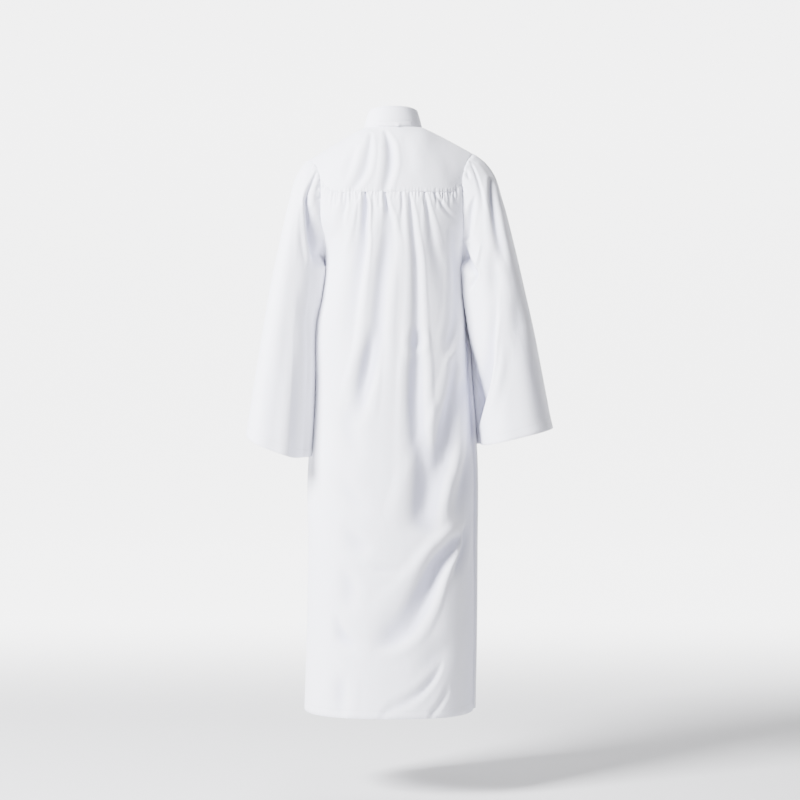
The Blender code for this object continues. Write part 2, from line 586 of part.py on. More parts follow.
def strip_grid():
    """The narrow strip along the nape, made from the foot of the collar and moved out."""
    first, last = math.asin(STRIP_RIGHT / NECK_RIGHT[0]), math.asin(STRIP_LEFT / NECK_LEFT[0])
    shares = np.array([STRIP_FOOT + STRIP_HEIGHT, STRIP_FOOT + STRIP_HEIGHT / 2, STRIP_FOOT]) / COLLAR_BACK_HEIGHT
    turn, share = np.meshgrid(np.linspace(first, last, STRIP_COLUMNS + 1), shares)
    outwards = np.stack([np.sin(turn), np.cos(turn), np.zeros_like(turn)], axis=-1)
    return collar_points(turn, share) + outwards * (STRIP_CLEARANCE + STRIP_WALL)


def zip_edge():
    """The zip edge of the front panels, as depth and height at each of their rows."""
    return front_grid(1)[:, 0, 1:]


def front_edge(level):
    """Depth of the zip edge at a height."""
    line = zip_edge()
    return float(np.interp(level, line[::-1, 1], line[::-1, 0]))


def tape_grid():
    """The tape behind the zip edges, made from the panels' own rows and moved in."""
    line = zip_edge()
    run = np.diff(line, axis=0)
    run = run / np.linalg.norm(run, axis=1, keepdims=True)
    run = np.concatenate([run[:1], (run[1:] + run[:-1]) / 2, run[-1:]])
    run = run / np.linalg.norm(run, axis=1, keepdims=True)
    line = line + np.stack([-run[:, 1], run[:, 0]], axis=1) * (WALL + SEAM_GAP)
    head = NECK_FRONT_LEVEL - ZIP_TAPE_HEAD
    foot = ZIP_FOOT_LEVEL - ZIP_TAPE_FOOT
    rows = line[:, 1]
    levels = np.concatenate([[head], rows[(rows < head - ZIP_TAPE_HEAD) & (rows > foot + ZIP_TAPE_FOOT)], [foot]])
    sideways, level = np.meshgrid(np.array(ZIP_TAPE_COLUMNS) * ZIP_TAPE_WIDTH, levels)
    depth = np.interp(level, line[::-1, 1], line[::-1, 0]) + ZIP_TAPE_BOW * sideways**2
    return np.stack([sideways, depth, level], axis=-1)


def material(name, colour, roughness, metallic=0.0):
    made = bpy.data.materials.new(name)
    made.use_nodes = True
    shader = made.node_tree.nodes["Principled BSDF"]
    shader.inputs["Base Color"].default_value = (*colour, 1.0)
    shader.inputs["Roughness"].default_value = roughness
    shader.inputs["Metallic"].default_value = metallic
    return made


def cloth_piece(name, grid, wall, finish, collection, closed=False):
    """An open sheet through a grid of points, given its thickness inwards by a Solidify modifier."""
    rows, columns = grid.shape[:2]
    made = bmesh.new()
    points = [[made.verts.new(grid[row, place]) for place in range(columns)] for row in range(rows)]
    around = columns if closed else columns - 1
    for row in range(rows - 1):
        for place in range(around):
            right = (place + 1) % columns
            corners = (points[row][place], points[row][right], points[row + 1][right], points[row + 1][place])
            made.faces.new(corners)
    mesh = bpy.data.meshes.new(name)
    made.to_mesh(mesh)
    made.free()
    mesh.shade_smooth()
    mesh.materials.append(finish)
    piece = bpy.data.objects.new(name, mesh)
    collection.objects.link(piece)
    shell = piece.modifiers.new("cloth thickness", "SOLIDIFY")
    shell.thickness = wall
    shell.offset = -1.0
    return piece


def facing_out(grid, outside):
    """The grid, turned over if its faces would not point the way that outside does at its middle."""
    row, place = grid.shape[0] // 2, grid.shape[1] // 2
    across = grid[row, place + 1] - grid[row, place]
    down = grid[row + 1, place] - grid[row, place]
    return grid if np.dot(np.cross(down, across), outside) < 0 else grid[:, ::-1]


def box_between(low, high, bevel):
    """A closed box with rounded edges."""
    made = bmesh.new()
    bmesh.ops.create_cube(made, size=1.0)
    low, high = np.asarray(low), np.asarray(high)
    bmesh.ops.scale(made, vec=tuple(high - low), verts=made.verts)
    bmesh.ops.translate(made, vec=tuple((high + low) / 2), verts=made.verts)
    bmesh.ops.bevel(made, geom=made.edges[:], offset=bevel, segments=2, affect="EDGES", profile=0.5)
    return made


def add_solid(name, made, finish, collection):
    mesh = bpy.data.meshes.new(name)
    made.to_mesh(mesh)
    made.free()
    mesh.materials.append(finish)
    piece = bpy.data.objects.new(name, mesh)
    collection.objects.link(piece)
    return piece


def cut_or_join(piece, other, operation):
    change = piece.modifiers.new(operation.lower(), "BOOLEAN")
    change.operation = operation
    change.object = other
    other.hide_render = True
    other.display_type = "WIRE"


def build_zip(collection, helpers, tape_finish, metal):
    tape = facing_out(tape_grid(), (0, -1, 0))
    cloth_piece("zip_tape", tape, ZIP_TAPE_WALL, tape_finish, collection)

    top, foot = SLIDER_LEVEL + SLIDER_LENGTH / 2, SLIDER_LEVEL - SLIDER_LENGTH / 2
    frame = bpy.data.objects.new("slider_place", None)
    frame.location = (0.0, front_edge(SLIDER_LEVEL), SLIDER_LEVEL)
    frame.rotation_euler = (-math.atan((front_edge(top) - front_edge(foot)) / SLIDER_LENGTH), 0.0, 0.0)
    collection.objects.link(frame)

    front = WALL - SLIDER_DEPTH
    low = (-SLIDER_WIDTH / 2, front, -SLIDER_LENGTH / 2)
    high = (SLIDER_WIDTH / 2, WALL, SLIDER_LENGTH / 2)
    slider = add_solid("zip_slider", box_between(low, high, SLIDER_EDGE), metal, collection)
    low = (-BRIDGE_WIDTH / 2, front - BRIDGE_HEIGHT, -BRIDGE_LENGTH / 2)
    high = (BRIDGE_WIDTH / 2, front + BRIDGE_BAR, BRIDGE_LENGTH / 2)
    bridge = add_solid("slider_bridge", box_between(low, high, BRIDGE_EDGE), metal, helpers)
    cut_or_join(slider, bridge, "UNION")
    low = (-BRIDGE_WIDTH, front - BRIDGE_HEIGHT + BRIDGE_BAR, -BRIDGE_LENGTH / 2 + BRIDGE_BAR)
    high = (BRIDGE_WIDTH, front - SLOT_FLOOR, BRIDGE_LENGTH / 2 - BRIDGE_BAR)
    slot = add_solid("bridge_slot", box_between(low, high, BRIDGE_EDGE), metal, helpers)
    cut_or_join(slider, slot, "DIFFERENCE")

    hinge = bpy.data.objects.new("pull_hinge", None)
    hinge.parent = frame
    pin_depth = front - (BRIDGE_HEIGHT - BRIDGE_BAR) / 2
    hinge.location = (0.0, pin_depth, -BRIDGE_LENGTH / 2 + BRIDGE_BAR + PULL_CLEARANCE + PULL_HEAD)
    collection.objects.link(hinge)

    low = (-PULL_WIDTH / 2, -PULL_THICKNESS / 2, -PULL_LENGTH)
    high = (PULL_WIDTH / 2, PULL_THICKNESS / 2, PULL_HEAD)
    pull = add_solid("zip_pull", box_between(low, high, PULL_EDGE), metal, collection)
    window_side = BRIDGE_WIDTH / 2 + PULL_CLEARANCE
    low = (-window_side, -PULL_THICKNESS, -PULL_HEAD - PULL_WINDOW_LENGTH)
    high = (window_side, PULL_THICKNESS, -PULL_HEAD)
    window = add_solid("pull_window", box_between(low, high, PULL_EDGE), metal, helpers)
    cut_or_join(pull, window, "DIFFERENCE")
    for piece in (slider, bridge, slot):
        piece.parent = frame
    for piece in (pull, window):
        piece.parent = hinge


def main():
    clear_scene()
    robe = bpy.data.collections.new("baptism_robe")
    helpers = bpy.data.collections.new("cutters")
    bpy.context.scene.collection.children.link(robe)
    bpy.context.scene.collection.children.link(helpers)

    white = (0.86, 0.87, 0.89)
    names = (
        "back_yoke",
        "back_panel",
        "front_panel_left",
        "front_panel_right",
        "sleeve_left",
        "sleeve_right",
        "collar",
        "nape_strip",
    )
    cloth = {name: material(name + "_cloth", white, 0.75) for name in names}
    tape_finish = material("zip_tape_weave", (0.84, 0.85, 0.87), 0.8)
    metal = material("zip_metal", (0.72, 0.72, 0.73), 0.3, 1.0)

    cloth_piece("back_yoke", facing_out(yoke_grid(), (0, 1, 0)), WALL, cloth["back_yoke"], robe)
    cloth_piece("back_panel", facing_out(back_grid(), (0, 1, 0)), WALL, cloth["back_panel"], robe)
    for side, name in ((1, "front_panel_left"), (-1, "front_panel_right")):
        cloth_piece(name, facing_out(front_grid(side), (0, -1, 0)), WALL, cloth[name], robe)
    for side, name in ((1, "sleeve_left"), (-1, "sleeve_right")):
        grid = sleeve_grid(side)
        grid = grid[:, ::-1] if side > 0 else grid
        cloth_piece(name, grid, WALL, cloth[name], robe, closed=True)
    cloth_piece("collar", facing_out(collar_grid(), (0, 1, 0)), COLLAR_WALL, cloth["collar"], robe)
    cloth_piece("nape_strip", facing_out(strip_grid(), (0, 1, 0)), STRIP_WALL, cloth["nape_strip"], robe)
    build_zip(robe, helpers, tape_finish, metal)


main()
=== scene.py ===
"""White baptism robe in its worn form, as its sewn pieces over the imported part. In metres, seen along -Y."""

import math

import bmesh
import bpy
import numpy as np
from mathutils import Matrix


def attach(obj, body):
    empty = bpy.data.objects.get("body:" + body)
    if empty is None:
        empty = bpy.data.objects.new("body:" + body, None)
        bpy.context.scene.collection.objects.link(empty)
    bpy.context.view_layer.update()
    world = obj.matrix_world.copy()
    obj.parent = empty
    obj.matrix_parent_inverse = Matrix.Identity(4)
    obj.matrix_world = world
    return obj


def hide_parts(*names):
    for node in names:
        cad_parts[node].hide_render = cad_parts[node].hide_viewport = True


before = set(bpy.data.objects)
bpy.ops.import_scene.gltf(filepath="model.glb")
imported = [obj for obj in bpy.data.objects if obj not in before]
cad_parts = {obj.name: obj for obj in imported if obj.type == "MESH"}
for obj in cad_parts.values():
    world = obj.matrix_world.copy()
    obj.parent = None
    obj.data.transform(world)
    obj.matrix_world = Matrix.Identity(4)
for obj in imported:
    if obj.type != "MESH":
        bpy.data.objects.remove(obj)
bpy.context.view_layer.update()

# The body and neck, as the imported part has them
NECK_BACK = 0.062
NECK_FRONT = 0.076
NECK_LEFT = (0.066, 0.005)
NECK_RIGHT = (0.069, 0.006)
NECK_FRONT_LEVEL = -0.056
SHOULDER_LEFT = (0.1972, -0.0702)
SHOULDER_RIGHT = (0.1910, -0.0560)
NECK_SHARE = 0.36
YOKE_SEAM_LEVEL = -0.1545
YOKE_SEAM_RISE = (0.033, 0.026)
CHEST_LEVEL = -0.150
UNDERARM_LEVEL = -0.325
HEM_LEVEL = -1.345
SECTION_SQUARENESS = 0.85
BODY_COLUMNS = ("height", "left", "right", "back", "front", "armhole")
BODY_ROWS = (
    (-0.100, 0.194, 0.186, 0.114, 0.104, 33),
    (-0.155, 0.189, 0.184, 0.126, 0.116, 32),
    (-0.210, 0.184, 0.181, 0.131, 0.124, 29),
    (-0.260, 0.162, 0.171, 0.133, 0.128, 20),
    (-0.300, 0.156, 0.163, 0.135, 0.130, 8),
    (-0.325, 0.158, 0.164, 0.136, 0.131, 0),
    (-0.395, 0.170, 0.170, 0.138, 0.133, 0),
    (-0.435, 0.180, 0.175, 0.139, 0.134, 0),
    (-0.500, 0.186, 0.181, 0.141, 0.136, 0),
    (-0.590, 0.184, 0.187, 0.144, 0.139, 0),
    (-0.680, 0.188, 0.194, 0.147, 0.143, 0),
    (-0.770, 0.196, 0.199, 0.150, 0.147, 0),
    (-0.980, 0.197, 0.199, 0.157, 0.155, 0),
    (-1.210, 0.201, 0.197, 0.163, 0.162, 0),
    (-1.345, 0.205, 0.194, 0.166, 0.166, 0),
)

# Sleeves, ring by ring down the arm
SLEEVE_COLUMNS = ("share", "outer", "outer_height", "inner", "inner_height", "back", "front", "back_drop")
SLEEVE_LEFT_ROWS = (
    (0.00, 0.1980, -0.0705, 0.1600, -0.3250, 0.074, 0.070, 0.000),
    (0.05, 0.2130, -0.0865, 0.1670, -0.3310, 0.084, 0.078, 0.000),
    (0.12, 0.2290, -0.1145, 0.1720, -0.3500, 0.094, 0.088, 0.000),
    (0.24, 0.2430, -0.1750, 0.1790, -0.4050, 0.103, 0.098, 0.000),
    (0.40, 0.2610, -0.2580, 0.1915, -0.4700, 0.111, 0.108, 0.000),
    (0.60, 0.2890, -0.3920, 0.1920, -0.5500, 0.122, 0.120, 0.004),
    (0.80, 0.3150, -0.5500, 0.1960, -0.6500, 0.134, 0.132, 0.010),
    (1.00, 0.3387, -0.7013, 0.2030, -0.7520, 0.146, 0.145, 0.016),
)
SLEEVE_RIGHT_ROWS = (
    (0.00, 0.1920, -0.0563, 0.1660, -0.3250, 0.074, 0.070, 0.000),
    (0.05, 0.2140, -0.0720, 0.1720, -0.3310, 0.084, 0.078, 0.000),
    (0.12, 0.2370, -0.1010, 0.1760, -0.3500, 0.094, 0.088, 0.000),
    (0.24, 0.2580, -0.1690, 0.1780, -0.4000, 0.104, 0.098, 0.000),
    (0.40, 0.2790, -0.2520, 0.1880, -0.4700, 0.112, 0.108, 0.000),
    (0.60, 0.3110, -0.3900, 0.1935, -0.5500, 0.124, 0.120, 0.002),
    (0.80, 0.3430, -0.5400, 0.2000, -0.6400, 0.137, 0.133, 0.003),
    (1.00, 0.3718, -0.6894, 0.2040, -0.7300, 0.150, 0.146, 0.004),
)
SLEEVE_ROUNDNESS = 0.92
SLEEVE_FLATTENING = 0.24
SLEEVE_SETTLED_SHARE = 0.30
BELL_RECESS_TOP = -0.45
ZIP_HALF_GAP = 0.0055
ZIP_FOOT_LEVEL = -0.700

# The photo: a pixel's size at the wearer, its middle column and row, and where the camera stands
PHOTO_SCALE = 0.002334
PHOTO_MIDDLE = 400
CAMERA_SIDE = -0.0175
CAMERA_DISTANCE = 4.5
CAMERA_LEVEL = -0.628
CLOTH_BEHIND = {"back": 0.140, "yoke": 0.105, "sleeve": 0.100}

# Folds read off the photo. A row gives a fold's name, the line of its dark core in the photo's pixels from
# the top down, its depth and the core's half width in millimetres along the line, and how much wider its left
# flank is. A hollow's row gives the whole trough instead of the dark core. A negative depth is a ridge.
BACK_CORES = (
    ("left_seam_pull", ((326, 184), (326.5, 205)), (2, 0.5), (3.5, 5), 0.0),
    ("gather_1", ((345, 192.5), (343, 203), (339.5, 216), (336, 238)),
     (2.5, 3.4, 2.6, 0), (4, 7, 8, 12), 0.3),
    ("gather_2", ((351.5, 189.5), (351, 200)), (2.2, 0.3), (3, 5), 0.0),
    ("gather_3", ((357.5, 193), (357, 201)), (2.4, 0.3), (3, 5), 0.0),
    ("gather_4", ((363.5, 191), (363, 205), (361, 225), (358, 245), (352, 270), (346, 300), (341.5, 330),
     (337.5, 360)), (5, 8.5, 8, 7, 5, 3.8, 2.4, 0), (4.5, 8, 9, 11, 14, 16, 18, 22), 0.35),
    ("gather_4_inner", ((357, 203), (355, 218), (351, 240), (346, 262)),
     (1.2, 2.4, 2.2, 0), (5, 7, 9, 12), 0.0),
    ("gather_5", ((371.5, 194), (372, 206), (371.5, 222)), (1.6, 1.8, 0), (4, 6, 8), 0.0),
    ("gather_6", ((384, 191), (385, 204), (387, 216), (388.5, 230), (387, 250), (383, 285)),
     (5, 6.5, 4.5, 4, 3, 0), (4.5, 6, 8, 9, 12, 16), 0.2),
    ("gather_6_wide", ((383, 212), (380, 245), (376, 280), (372, 320), (369, 348), (365, 372), (360, 395)),
     (1.6, 4.6, 6.2, 6.6, 5.4, 3, 0), (8, 12, 14, 15, 17, 19, 22), 0.1),
    ("gather_7", ((401, 192.5), (401, 206), (399, 222), (398, 246)),
     (3, 2.4, 1.4, 0), (3.5, 4.5, 7, 9), 0.0),
    ("gather_8", ((408, 193), (409.5, 214), (411, 236), (413, 260), (413.5, 300), (412.5, 342)),
     (2.5, 4.4, 5, 5, 5.4, 6.5), (4, 7, 8, 9, 10, 12), 0.15),
    ("gather_8_low", ((413, 335), (411.5, 365), (411, 400), (412, 430), (415, 462), (414, 500), (409, 535)),
     (4, 9.5, 10.5, 9, 8, 6, 0), (11, 14, 15, 17, 20, 25, 30), 0.1),
    ("gather_9", ((424, 190), (425.5, 205), (427, 222), (429, 243), (433, 265), (438, 292)),
     (3.2, 4.2, 3.6, 3, 2.4, 0), (4, 5.5, 8, 10, 12, 16), 0.1),
    ("gather_10", ((433, 191), (438, 200), (446, 212), (458, 222)),
     (2.6, 2.8, 2, 0.3), (4, 5.5, 6, 7), 0.2),
    ("gather_12", ((450, 190), (454, 198), (458, 206)), (1.6, 1.2, 0.2), (4, 5, 6), 0.0),
    ("side_strand", ((450, 230), (452, 252), (453.5, 285), (452, 315), (447, 338), (444, 352)),
     (1.8, 3.6, 4, 4, 4, 1), (8, 9, 10, 11, 11, 9), 0.1),
    ("elbow_crease", ((459, 346), (453, 352.5), (447, 357.5), (441, 363.5)),
     (0.5, -2.2, -2.2, 0), (4, 5, 5, 8), 0.0),
    ("below_crease", ((453, 362), (448, 390), (443, 415), (436, 440)), (3, 7, 7, 2), (9, 12, 14, 16), 0.2),
    ("hip_hollow", ((458, 385), (447, 415), (437, 448), (427, 478), (418, 508), (411, 535)),
     (3, 8, 10, 10, 7, 0), (12, 18, 22, 26, 28, 30), 0.2),
    ("hip_ridge", ((466, 432), (456, 462), (446, 488), (438, 510), (432, 530)),
     (0, -2.4, -3, -2, 0), (14, 15, 16, 17, 18), 0.0),
    ("hip_ridge_under", ((466, 452), (458, 480), (450, 505), (444, 526)),
     (0, 3.4, 3.4, 0), (13, 15, 16, 17), 0.0),
    ("long_diagonal", ((461, 533), (454, 539), (445, 549), (435, 561), (426, 576), (418, 590), (409, 604),
     (399, 616), (385, 626), (365, 635)),
     (2, 8, 13, 15, 14, 12, 10, 8, 6, 0), (9, 11, 13, 15, 18, 21, 24, 26, 26, 22), 0.4),
    ("long_diagonal_upper", ((460, 523), (450, 530), (438, 539), (427, 551), (416, 568), (407, 588)),
     (0, -1.6, -2.4, -2, -1, 0), (9, 10, 11, 12, 14, 18), 0.0),
    ("side_crease", ((466, 528), (464.5, 541), (460, 555), (455, 567), (452, 578)),
     (1, 4, 5.5, 4.5, 0), (8, 8, 9, 10, 11), -0.3),
    ("shin_soft", ((450, 630), (430, 650), (408, 660)), (0, 2.6, 0), (16, 24, 26), 0.0),
    ("hem_diagonal", ((440, 664), (431, 676), (419, 688), (404, 697), (390, 704), (382, 711)),
     (1.5, 4.4, 4.6, 3.4, 2.8, 2), (6, 8, 9, 10, 9, 7), 0.35),
    ("hem_pleat", ((445, 690), (438, 702), (430, 712)), (2, 3.4, 3), (7, 7, 7), 0.2),
    ("hem_left_soft", ((336, 668), (334, 690), (335, 709)), (0, 3.4, 2.4), (14, 16, 14), 0.0),
    ("left_spot", ((333, 624), (338, 640), (352, 652)), (2.4, 5.4, 1), (10, 13, 14), 0.0),
    ("left_soft_1", ((333, 566), (341, 588), (338, 618)), (0, 3.4, 0), (12, 18, 20), 0.0),
    ("left_soft_2", ((336, 528), (350, 548), (366, 560)), (0, 3.4, 0), (14, 18, 18), 0.0),
    ("left_soft_3", ((330, 470), (342, 498), (362, 522)), (0, 2.6, 0), (14, 20, 22), 0.0),
    ("left_long", ((334, 385), (340, 430), (350, 470)), (0, 3, 0), (14, 20, 22), 0.0),
    ("seat_soft", ((366, 335), (362, 360), (357, 385), (348, 425)),
     (2, 8.5, 8.5, 0), (12, 13, 15, 18), 0.1),
    ("mid_soft", ((402, 360), (398, 400), (397, 450), (400, 500)), (0, 2, 2, 0), (16, 20, 24, 26), 0.0),
    ("across_soft", ((366, 566), (380, 572), (398, 568)), (0, 2.8, 1), (6, 8, 8), 0.0),
)
BACK_HOLLOWS = (
    ("side_soft", ((474, 262), (476, 340), (479, 400), (480, 470), (482, 540), (484, 620), (484, 705)),
     (3, 9, 12, 12, 11, 10, 9), (38, 46, 52, 56, 62, 68, 70), 0.0),
)
YOKE_CORES = (
    ("yoke_1", ((384, 131), (386.5, 145), (386.5, 165), (382, 189)),
     (2.4, 5.4, 5.6, 3.6), (6, 9, 10, 9), 0.1),
    ("yoke_2", ((369, 133), (365, 150), (360, 170), (350, 188)), (1.8, 4.4, 4.6, 2.8), (6, 9, 10, 9), 0.1),
    ("yoke_3", ((353, 146), (347, 160), (343, 176)), (0.8, 2, 0.6), (7, 9, 9), 0.0),
    ("yoke_4", ((402, 138), (404, 160), (402, 180)), (0.4, 1, 0), (9, 12, 12), 0.0),
    ("yoke_right", ((440, 150), (446, 168), (449, 182)), (0, 0.8, 0.4), (10, 14, 12), 0.0),
)
SLEEVE_LEFT_CORES = (
    ("head_edge", ((315, 170), (309.5, 182), (305.5, 193), (304, 201)),
     (2.6, 4.6, 5, 3), (4, 6, 7, 7), -0.2),
    ("head_tick", ((314, 166), (316.5, 173)), (1.6, 1.2), (3, 4), 0.0),
    ("arm_hollow", ((304.5, 199), (305.5, 212), (307, 227), (309.5, 243), (312.5, 258), (313, 272)),
     (4, 9, 11, 10, 6, 0), (7, 9, 11, 12, 12, 14), -0.3),
    ("arm_hollow_side", ((301, 206), (300, 225), (301.5, 250), (305, 280)),
     (1, 2.2, 2.4, 0), (6, 7, 9, 12), 0.0),
    ("seam_crease", ((320.5, 183), (320.5, 205), (319.5, 225), (321.5, 240), (325, 257)),
     (0, 0.5, 1.5, 3.6, 4), (4, 5, 6, 6, 5), 0.3),
    ("inner_soft", ((319, 262), (317, 275)), (1.2, 0), (7, 9), 0.0),
    ("long_soft", ((299, 345), (296, 375), (293, 410), (291, 452)), (0, 1.6, 2, 2), (12, 14, 16, 16), 0.0),
    ("mid_soft", ((286, 300), (281, 345), (274, 395), (270, 440)), (0, 2, 2.4, 1.5), (14, 18, 20, 20), 0.0),
    ("outer_soft", ((272, 330), (263, 380), (258, 425)), (0, 2, 1.5), (12, 16, 18), 0.0),
    ("head_soft", ((300, 172), (295, 190), (292, 212)), (1, 1.6, 0), (6, 8, 10), 0.0),
)
SLEEVE_LEFT_HOLLOWS = (
    ("inner_fullness", ((308, 285), (308, 330), (307, 380), (305, 452)),
     (0, -6, -8, -7), (14, 19, 20, 20), 0.0),
)
SLEEVE_RIGHT_CORES = (
    ("head_dimple", ((465, 166), (467, 173), (468.5, 179)), (2, 3.6, 0.5), (3.5, 4.5, 4), 0.0),
    ("head_line", ((470, 160), (474.5, 170), (478.5, 185), (480.5, 200), (481.5, 218)),
     (1.2, 2.4, 2.6, 2, 0), (3.5, 4, 5, 6, 8), 0.3),
    ("head_hollow", ((474, 196), (470, 206), (467.5, 220), (466, 236)),
     (1, 4.6, 5.6, 3.4), (5, 7, 7, 6), -0.2),
    ("arm_hollow", ((490, 179), (490, 192), (491, 210), (493, 230), (496, 250), (497, 268)),
     (3.4, 5.6, 6.2, 6, 4, 0), (7, 8, 9, 10, 11, 14), 0.1),
    ("arm_hollow_low", ((489, 255), (490, 280), (488, 302)), (1, 2.6, 0), (9, 12, 14), 0.0),
    ("outer_hollow", ((511, 290), (512, 320), (514, 350)), (0, 2.6, 0.5), (12, 15, 16), 0.0),
    ("underarm", ((463, 243), (466, 262), (472, 274), (469, 286)), (3, 8, 8, 3), (5, 8, 8, 6), 0.3),
    ("underarm_edge", ((480, 246), (477, 262), (472, 278)), (-1, -2.6, -1), (4, 5, 6), 0.0),
    ("outer_soft", ((520, 330), (527, 370), (533, 415)), (0, 2.4, 2), (12, 18, 22), 0.0),
    ("outer_soft_2", ((503, 300), (508, 350), (514, 400)), (0, 1.5, 1), (14, 20, 24), 0.0),
    ("head_soft", ((482, 162), (488, 170), (492, 180)), (0.5, 1.4, 0.4), (5, 7, 7), 0.0),
)
SLEEVE_RIGHT_HOLLOWS = (
    ("bell_edge", ((496, 290), (495, 318), (492, 342), (490, 362), (486, 384), (481, 405), (476, 428)),
     (0, 5, 8, 11, 15, 16, 12), (15, 18, 20, 22, 24, 24, 22), 0.55),
    ("bell_lip", ((502, 350), (500, 370), (495, 390), (489, 410), (485, 436)),
     (-1, -3, -3.6, -3, -1), (14, 16, 18, 18, 18), 0.0),
)

# Folds that the photo doesn't show, as whole troughs. Their lines are in metres, sideways and in height.
# Each is made deeper and wider than its row says, by these amounts.
HIDDEN_DEEPER = 1.6
HIDDEN_WIDER = 1.35
FRONT_FOLDS = (
    ("chest_left", ((0.118, -0.120), (0.112, -0.200), (0.116, -0.330), (0.104, -0.520)),
     (3, 7, 6, 0), (9, 14, 22, 28), 0.2),
    ("chest_left_2", ((0.066, -0.100), (0.074, -0.200), (0.080, -0.330)), (1.5, 3.5, 0), (8, 12, 18), 0.0),
    ("chest_right", ((-0.112, -0.110), (-0.106, -0.190), (-0.110, -0.300), (-0.096, -0.500)),
     (3, 7, 6, 0), (9, 13, 22, 28), -0.2),
    ("chest_right_2", ((-0.058, -0.110), (-0.068, -0.210), (-0.070, -0.300)),
     (1.5, 3, 0), (8, 12, 18), 0.0),
    ("waist_left", ((0.060, -0.400), (0.072, -0.560), (0.070, -0.740), (0.058, -0.940)),
     (1, 6, 8, 0), (14, 20, 24, 30), 0.2),
    ("waist_right", ((-0.056, -0.360), (-0.068, -0.520), (-0.078, -0.700), (-0.070, -0.900)),
     (1, 7, 8, 0), (14, 20, 24, 30), 0.1),
    ("zip_left", ((0.024, -0.180), (0.027, -0.330), (0.022, -0.520)), (0.8, 2, 0), (7, 10, 12), 0.0),
    ("zip_right", ((-0.022, -0.300), (-0.026, -0.460), (-0.024, -0.640)), (0.6, 2, 0), (7, 10, 12), 0.0),
    ("skirt_left", ((0.120, -0.740), (0.112, -0.900), (0.116, -1.080), (0.128, -1.345)),
     (1, 8, 10, 8), (16, 24, 30, 32), 0.2),
    ("skirt_right", ((-0.124, -0.680), (-0.112, -0.880), (-0.110, -1.080), (-0.122, -1.345)),
     (1, 8, 10, 8), (16, 24, 30, 32), -0.1),
    ("skirt_middle", ((0.030, -0.860), (0.020, -1.040), (0.030, -1.345)), (0.5, 6, 7), (16, 24, 28), 0.2),
    ("skirt_inner", ((-0.044, -0.960), (-0.052, -1.120), (-0.046, -1.345)),
     (0.5, 5, 6), (14, 20, 24), -0.2),
    ("knee_left", ((0.150, -1.000), (0.110, -1.080), (0.070, -1.130)), (2, 4, 0), (9, 14, 18), 0.3),
    ("knee_right", ((-0.152, -0.920), (-0.104, -1.010), (-0.066, -1.050)), (2, 4, 0), (9, 14, 18), 0.3),
    ("armhole_left", ((0.150, -0.180), (0.140, -0.240), (0.126, -0.280)), (2, 3, 0), (6, 9, 11), 0.0),
    ("armhole_right", ((-0.148, -0.170), (-0.138, -0.235), (-0.124, -0.280)), (2, 3, 0), (6, 9, 11), 0.0),
)
SLEEVE_LEFT_FRONT_FOLDS = (
    ("head", ((0.192, -0.100), (0.202, -0.135), (0.206, -0.170)), (2, 4, 1), (6, 8, 10), 0.0),
    ("arm_hollow", ((0.198, -0.150), (0.204, -0.220), (0.206, -0.290), (0.200, -0.350)),
     (3, 9, 8, 0), (8, 11, 14, 16), 0.2),
    ("long_soft", ((0.222, -0.320), (0.232, -0.480), (0.240, -0.620), (0.248, -0.760)),
     (1, 6, 8, 6), (14, 24, 30, 32), 0.1),
    ("mid_soft", ((0.268, -0.360), (0.282, -0.520), (0.292, -0.700)), (1, 4, 4), (14, 20, 24), 0.0),
    ("seam_crease", ((0.170, -0.160), (0.170, -0.230), (0.168, -0.290)), (1, 3, 3), (5, 7, 6), 0.0),
)
SLEEVE_RIGHT_FRONT_FOLDS = (
    ("head", ((-0.186, -0.090), (-0.198, -0.126), (-0.202, -0.160)), (2, 4, 1), (6, 8, 10), 0.0),
    ("arm_hollow", ((-0.206, -0.140), (-0.212, -0.210), (-0.214, -0.290), (-0.206, -0.360)),
     (3, 9, 8, 0), (8, 11, 14, 16), -0.2),
    ("long_soft", ((-0.230, -0.310), (-0.244, -0.460), (-0.256, -0.600), (-0.268, -0.740)),
     (1, 6, 8, 6), (14, 24, 30, 32), 0.0),
    ("mid_soft", ((-0.290, -0.340), (-0.310, -0.500), (-0.326, -0.680)), (1, 4, 4), (14, 20, 24), 0.0),
    ("seam_crease", ((-0.172, -0.150), (-0.174, -0.220), (-0.172, -0.290)), (1, 3, 3), (5, 7, 6), 0.0),
)

MILLIMETRE = 0.001
WALL = 0.0010
HEM_DEPTH = 0.022
CUFF_HEM_DEPTH = 0.020
HEM_LINING_SHARES = (0.12, 0.3, 0.5, 0.75, 1.0)
PATH_SAMPLES = 40
ZIP_EDGE = 1e-6

# Tucks at the sewn edges: how far each goes on past the edge, and how far it is turned in
GATHERED_TUCK = (0.005, 0.0022)
YOKE_FOOT_TUCK = (0.0008, 0.0012)
YOKE_NECK_TUCK = (0.0035, 0.0012)
SHOULDER_TUCK = (0.003, 0.0020)
ZIP_EDGE_TUCK = (0.0006, 0.0016)
SIDE_SEAM_TUCK = (0.003, 0.0016)
SLEEVE_HEAD_TUCK = (0.003, 0.0016)

# Slow waves of each piece: the height of the swells, and their lengths across and down
BACK_WAVES = (0.0011, (0.12, 0.5))
YOKE_WAVES = (0.0006, (0.10, 0.16))
FRONT_WAVES = (0.0012, (0.12, 0.5))
SLEEVE_WAVES = (0.0011, (0.628 / 5, 0.4))
COLLAR_WAVES = (0.0006, (0.09, 0.2))


def smooth_step(value):
    value = np.clip(value, 0.0, 1.0)
    return value * value * (3.0 - 2.0 * value)


def hermite(start, leave, end, arrive, share):
    square = share * share
    cube = square * share
    return (
        (2 * cube - 3 * square + 1) * start
        + (cube - 2 * square + share) * leave
        + (3 * square - 2 * cube) * end
        + (cube - square) * arrive
    )


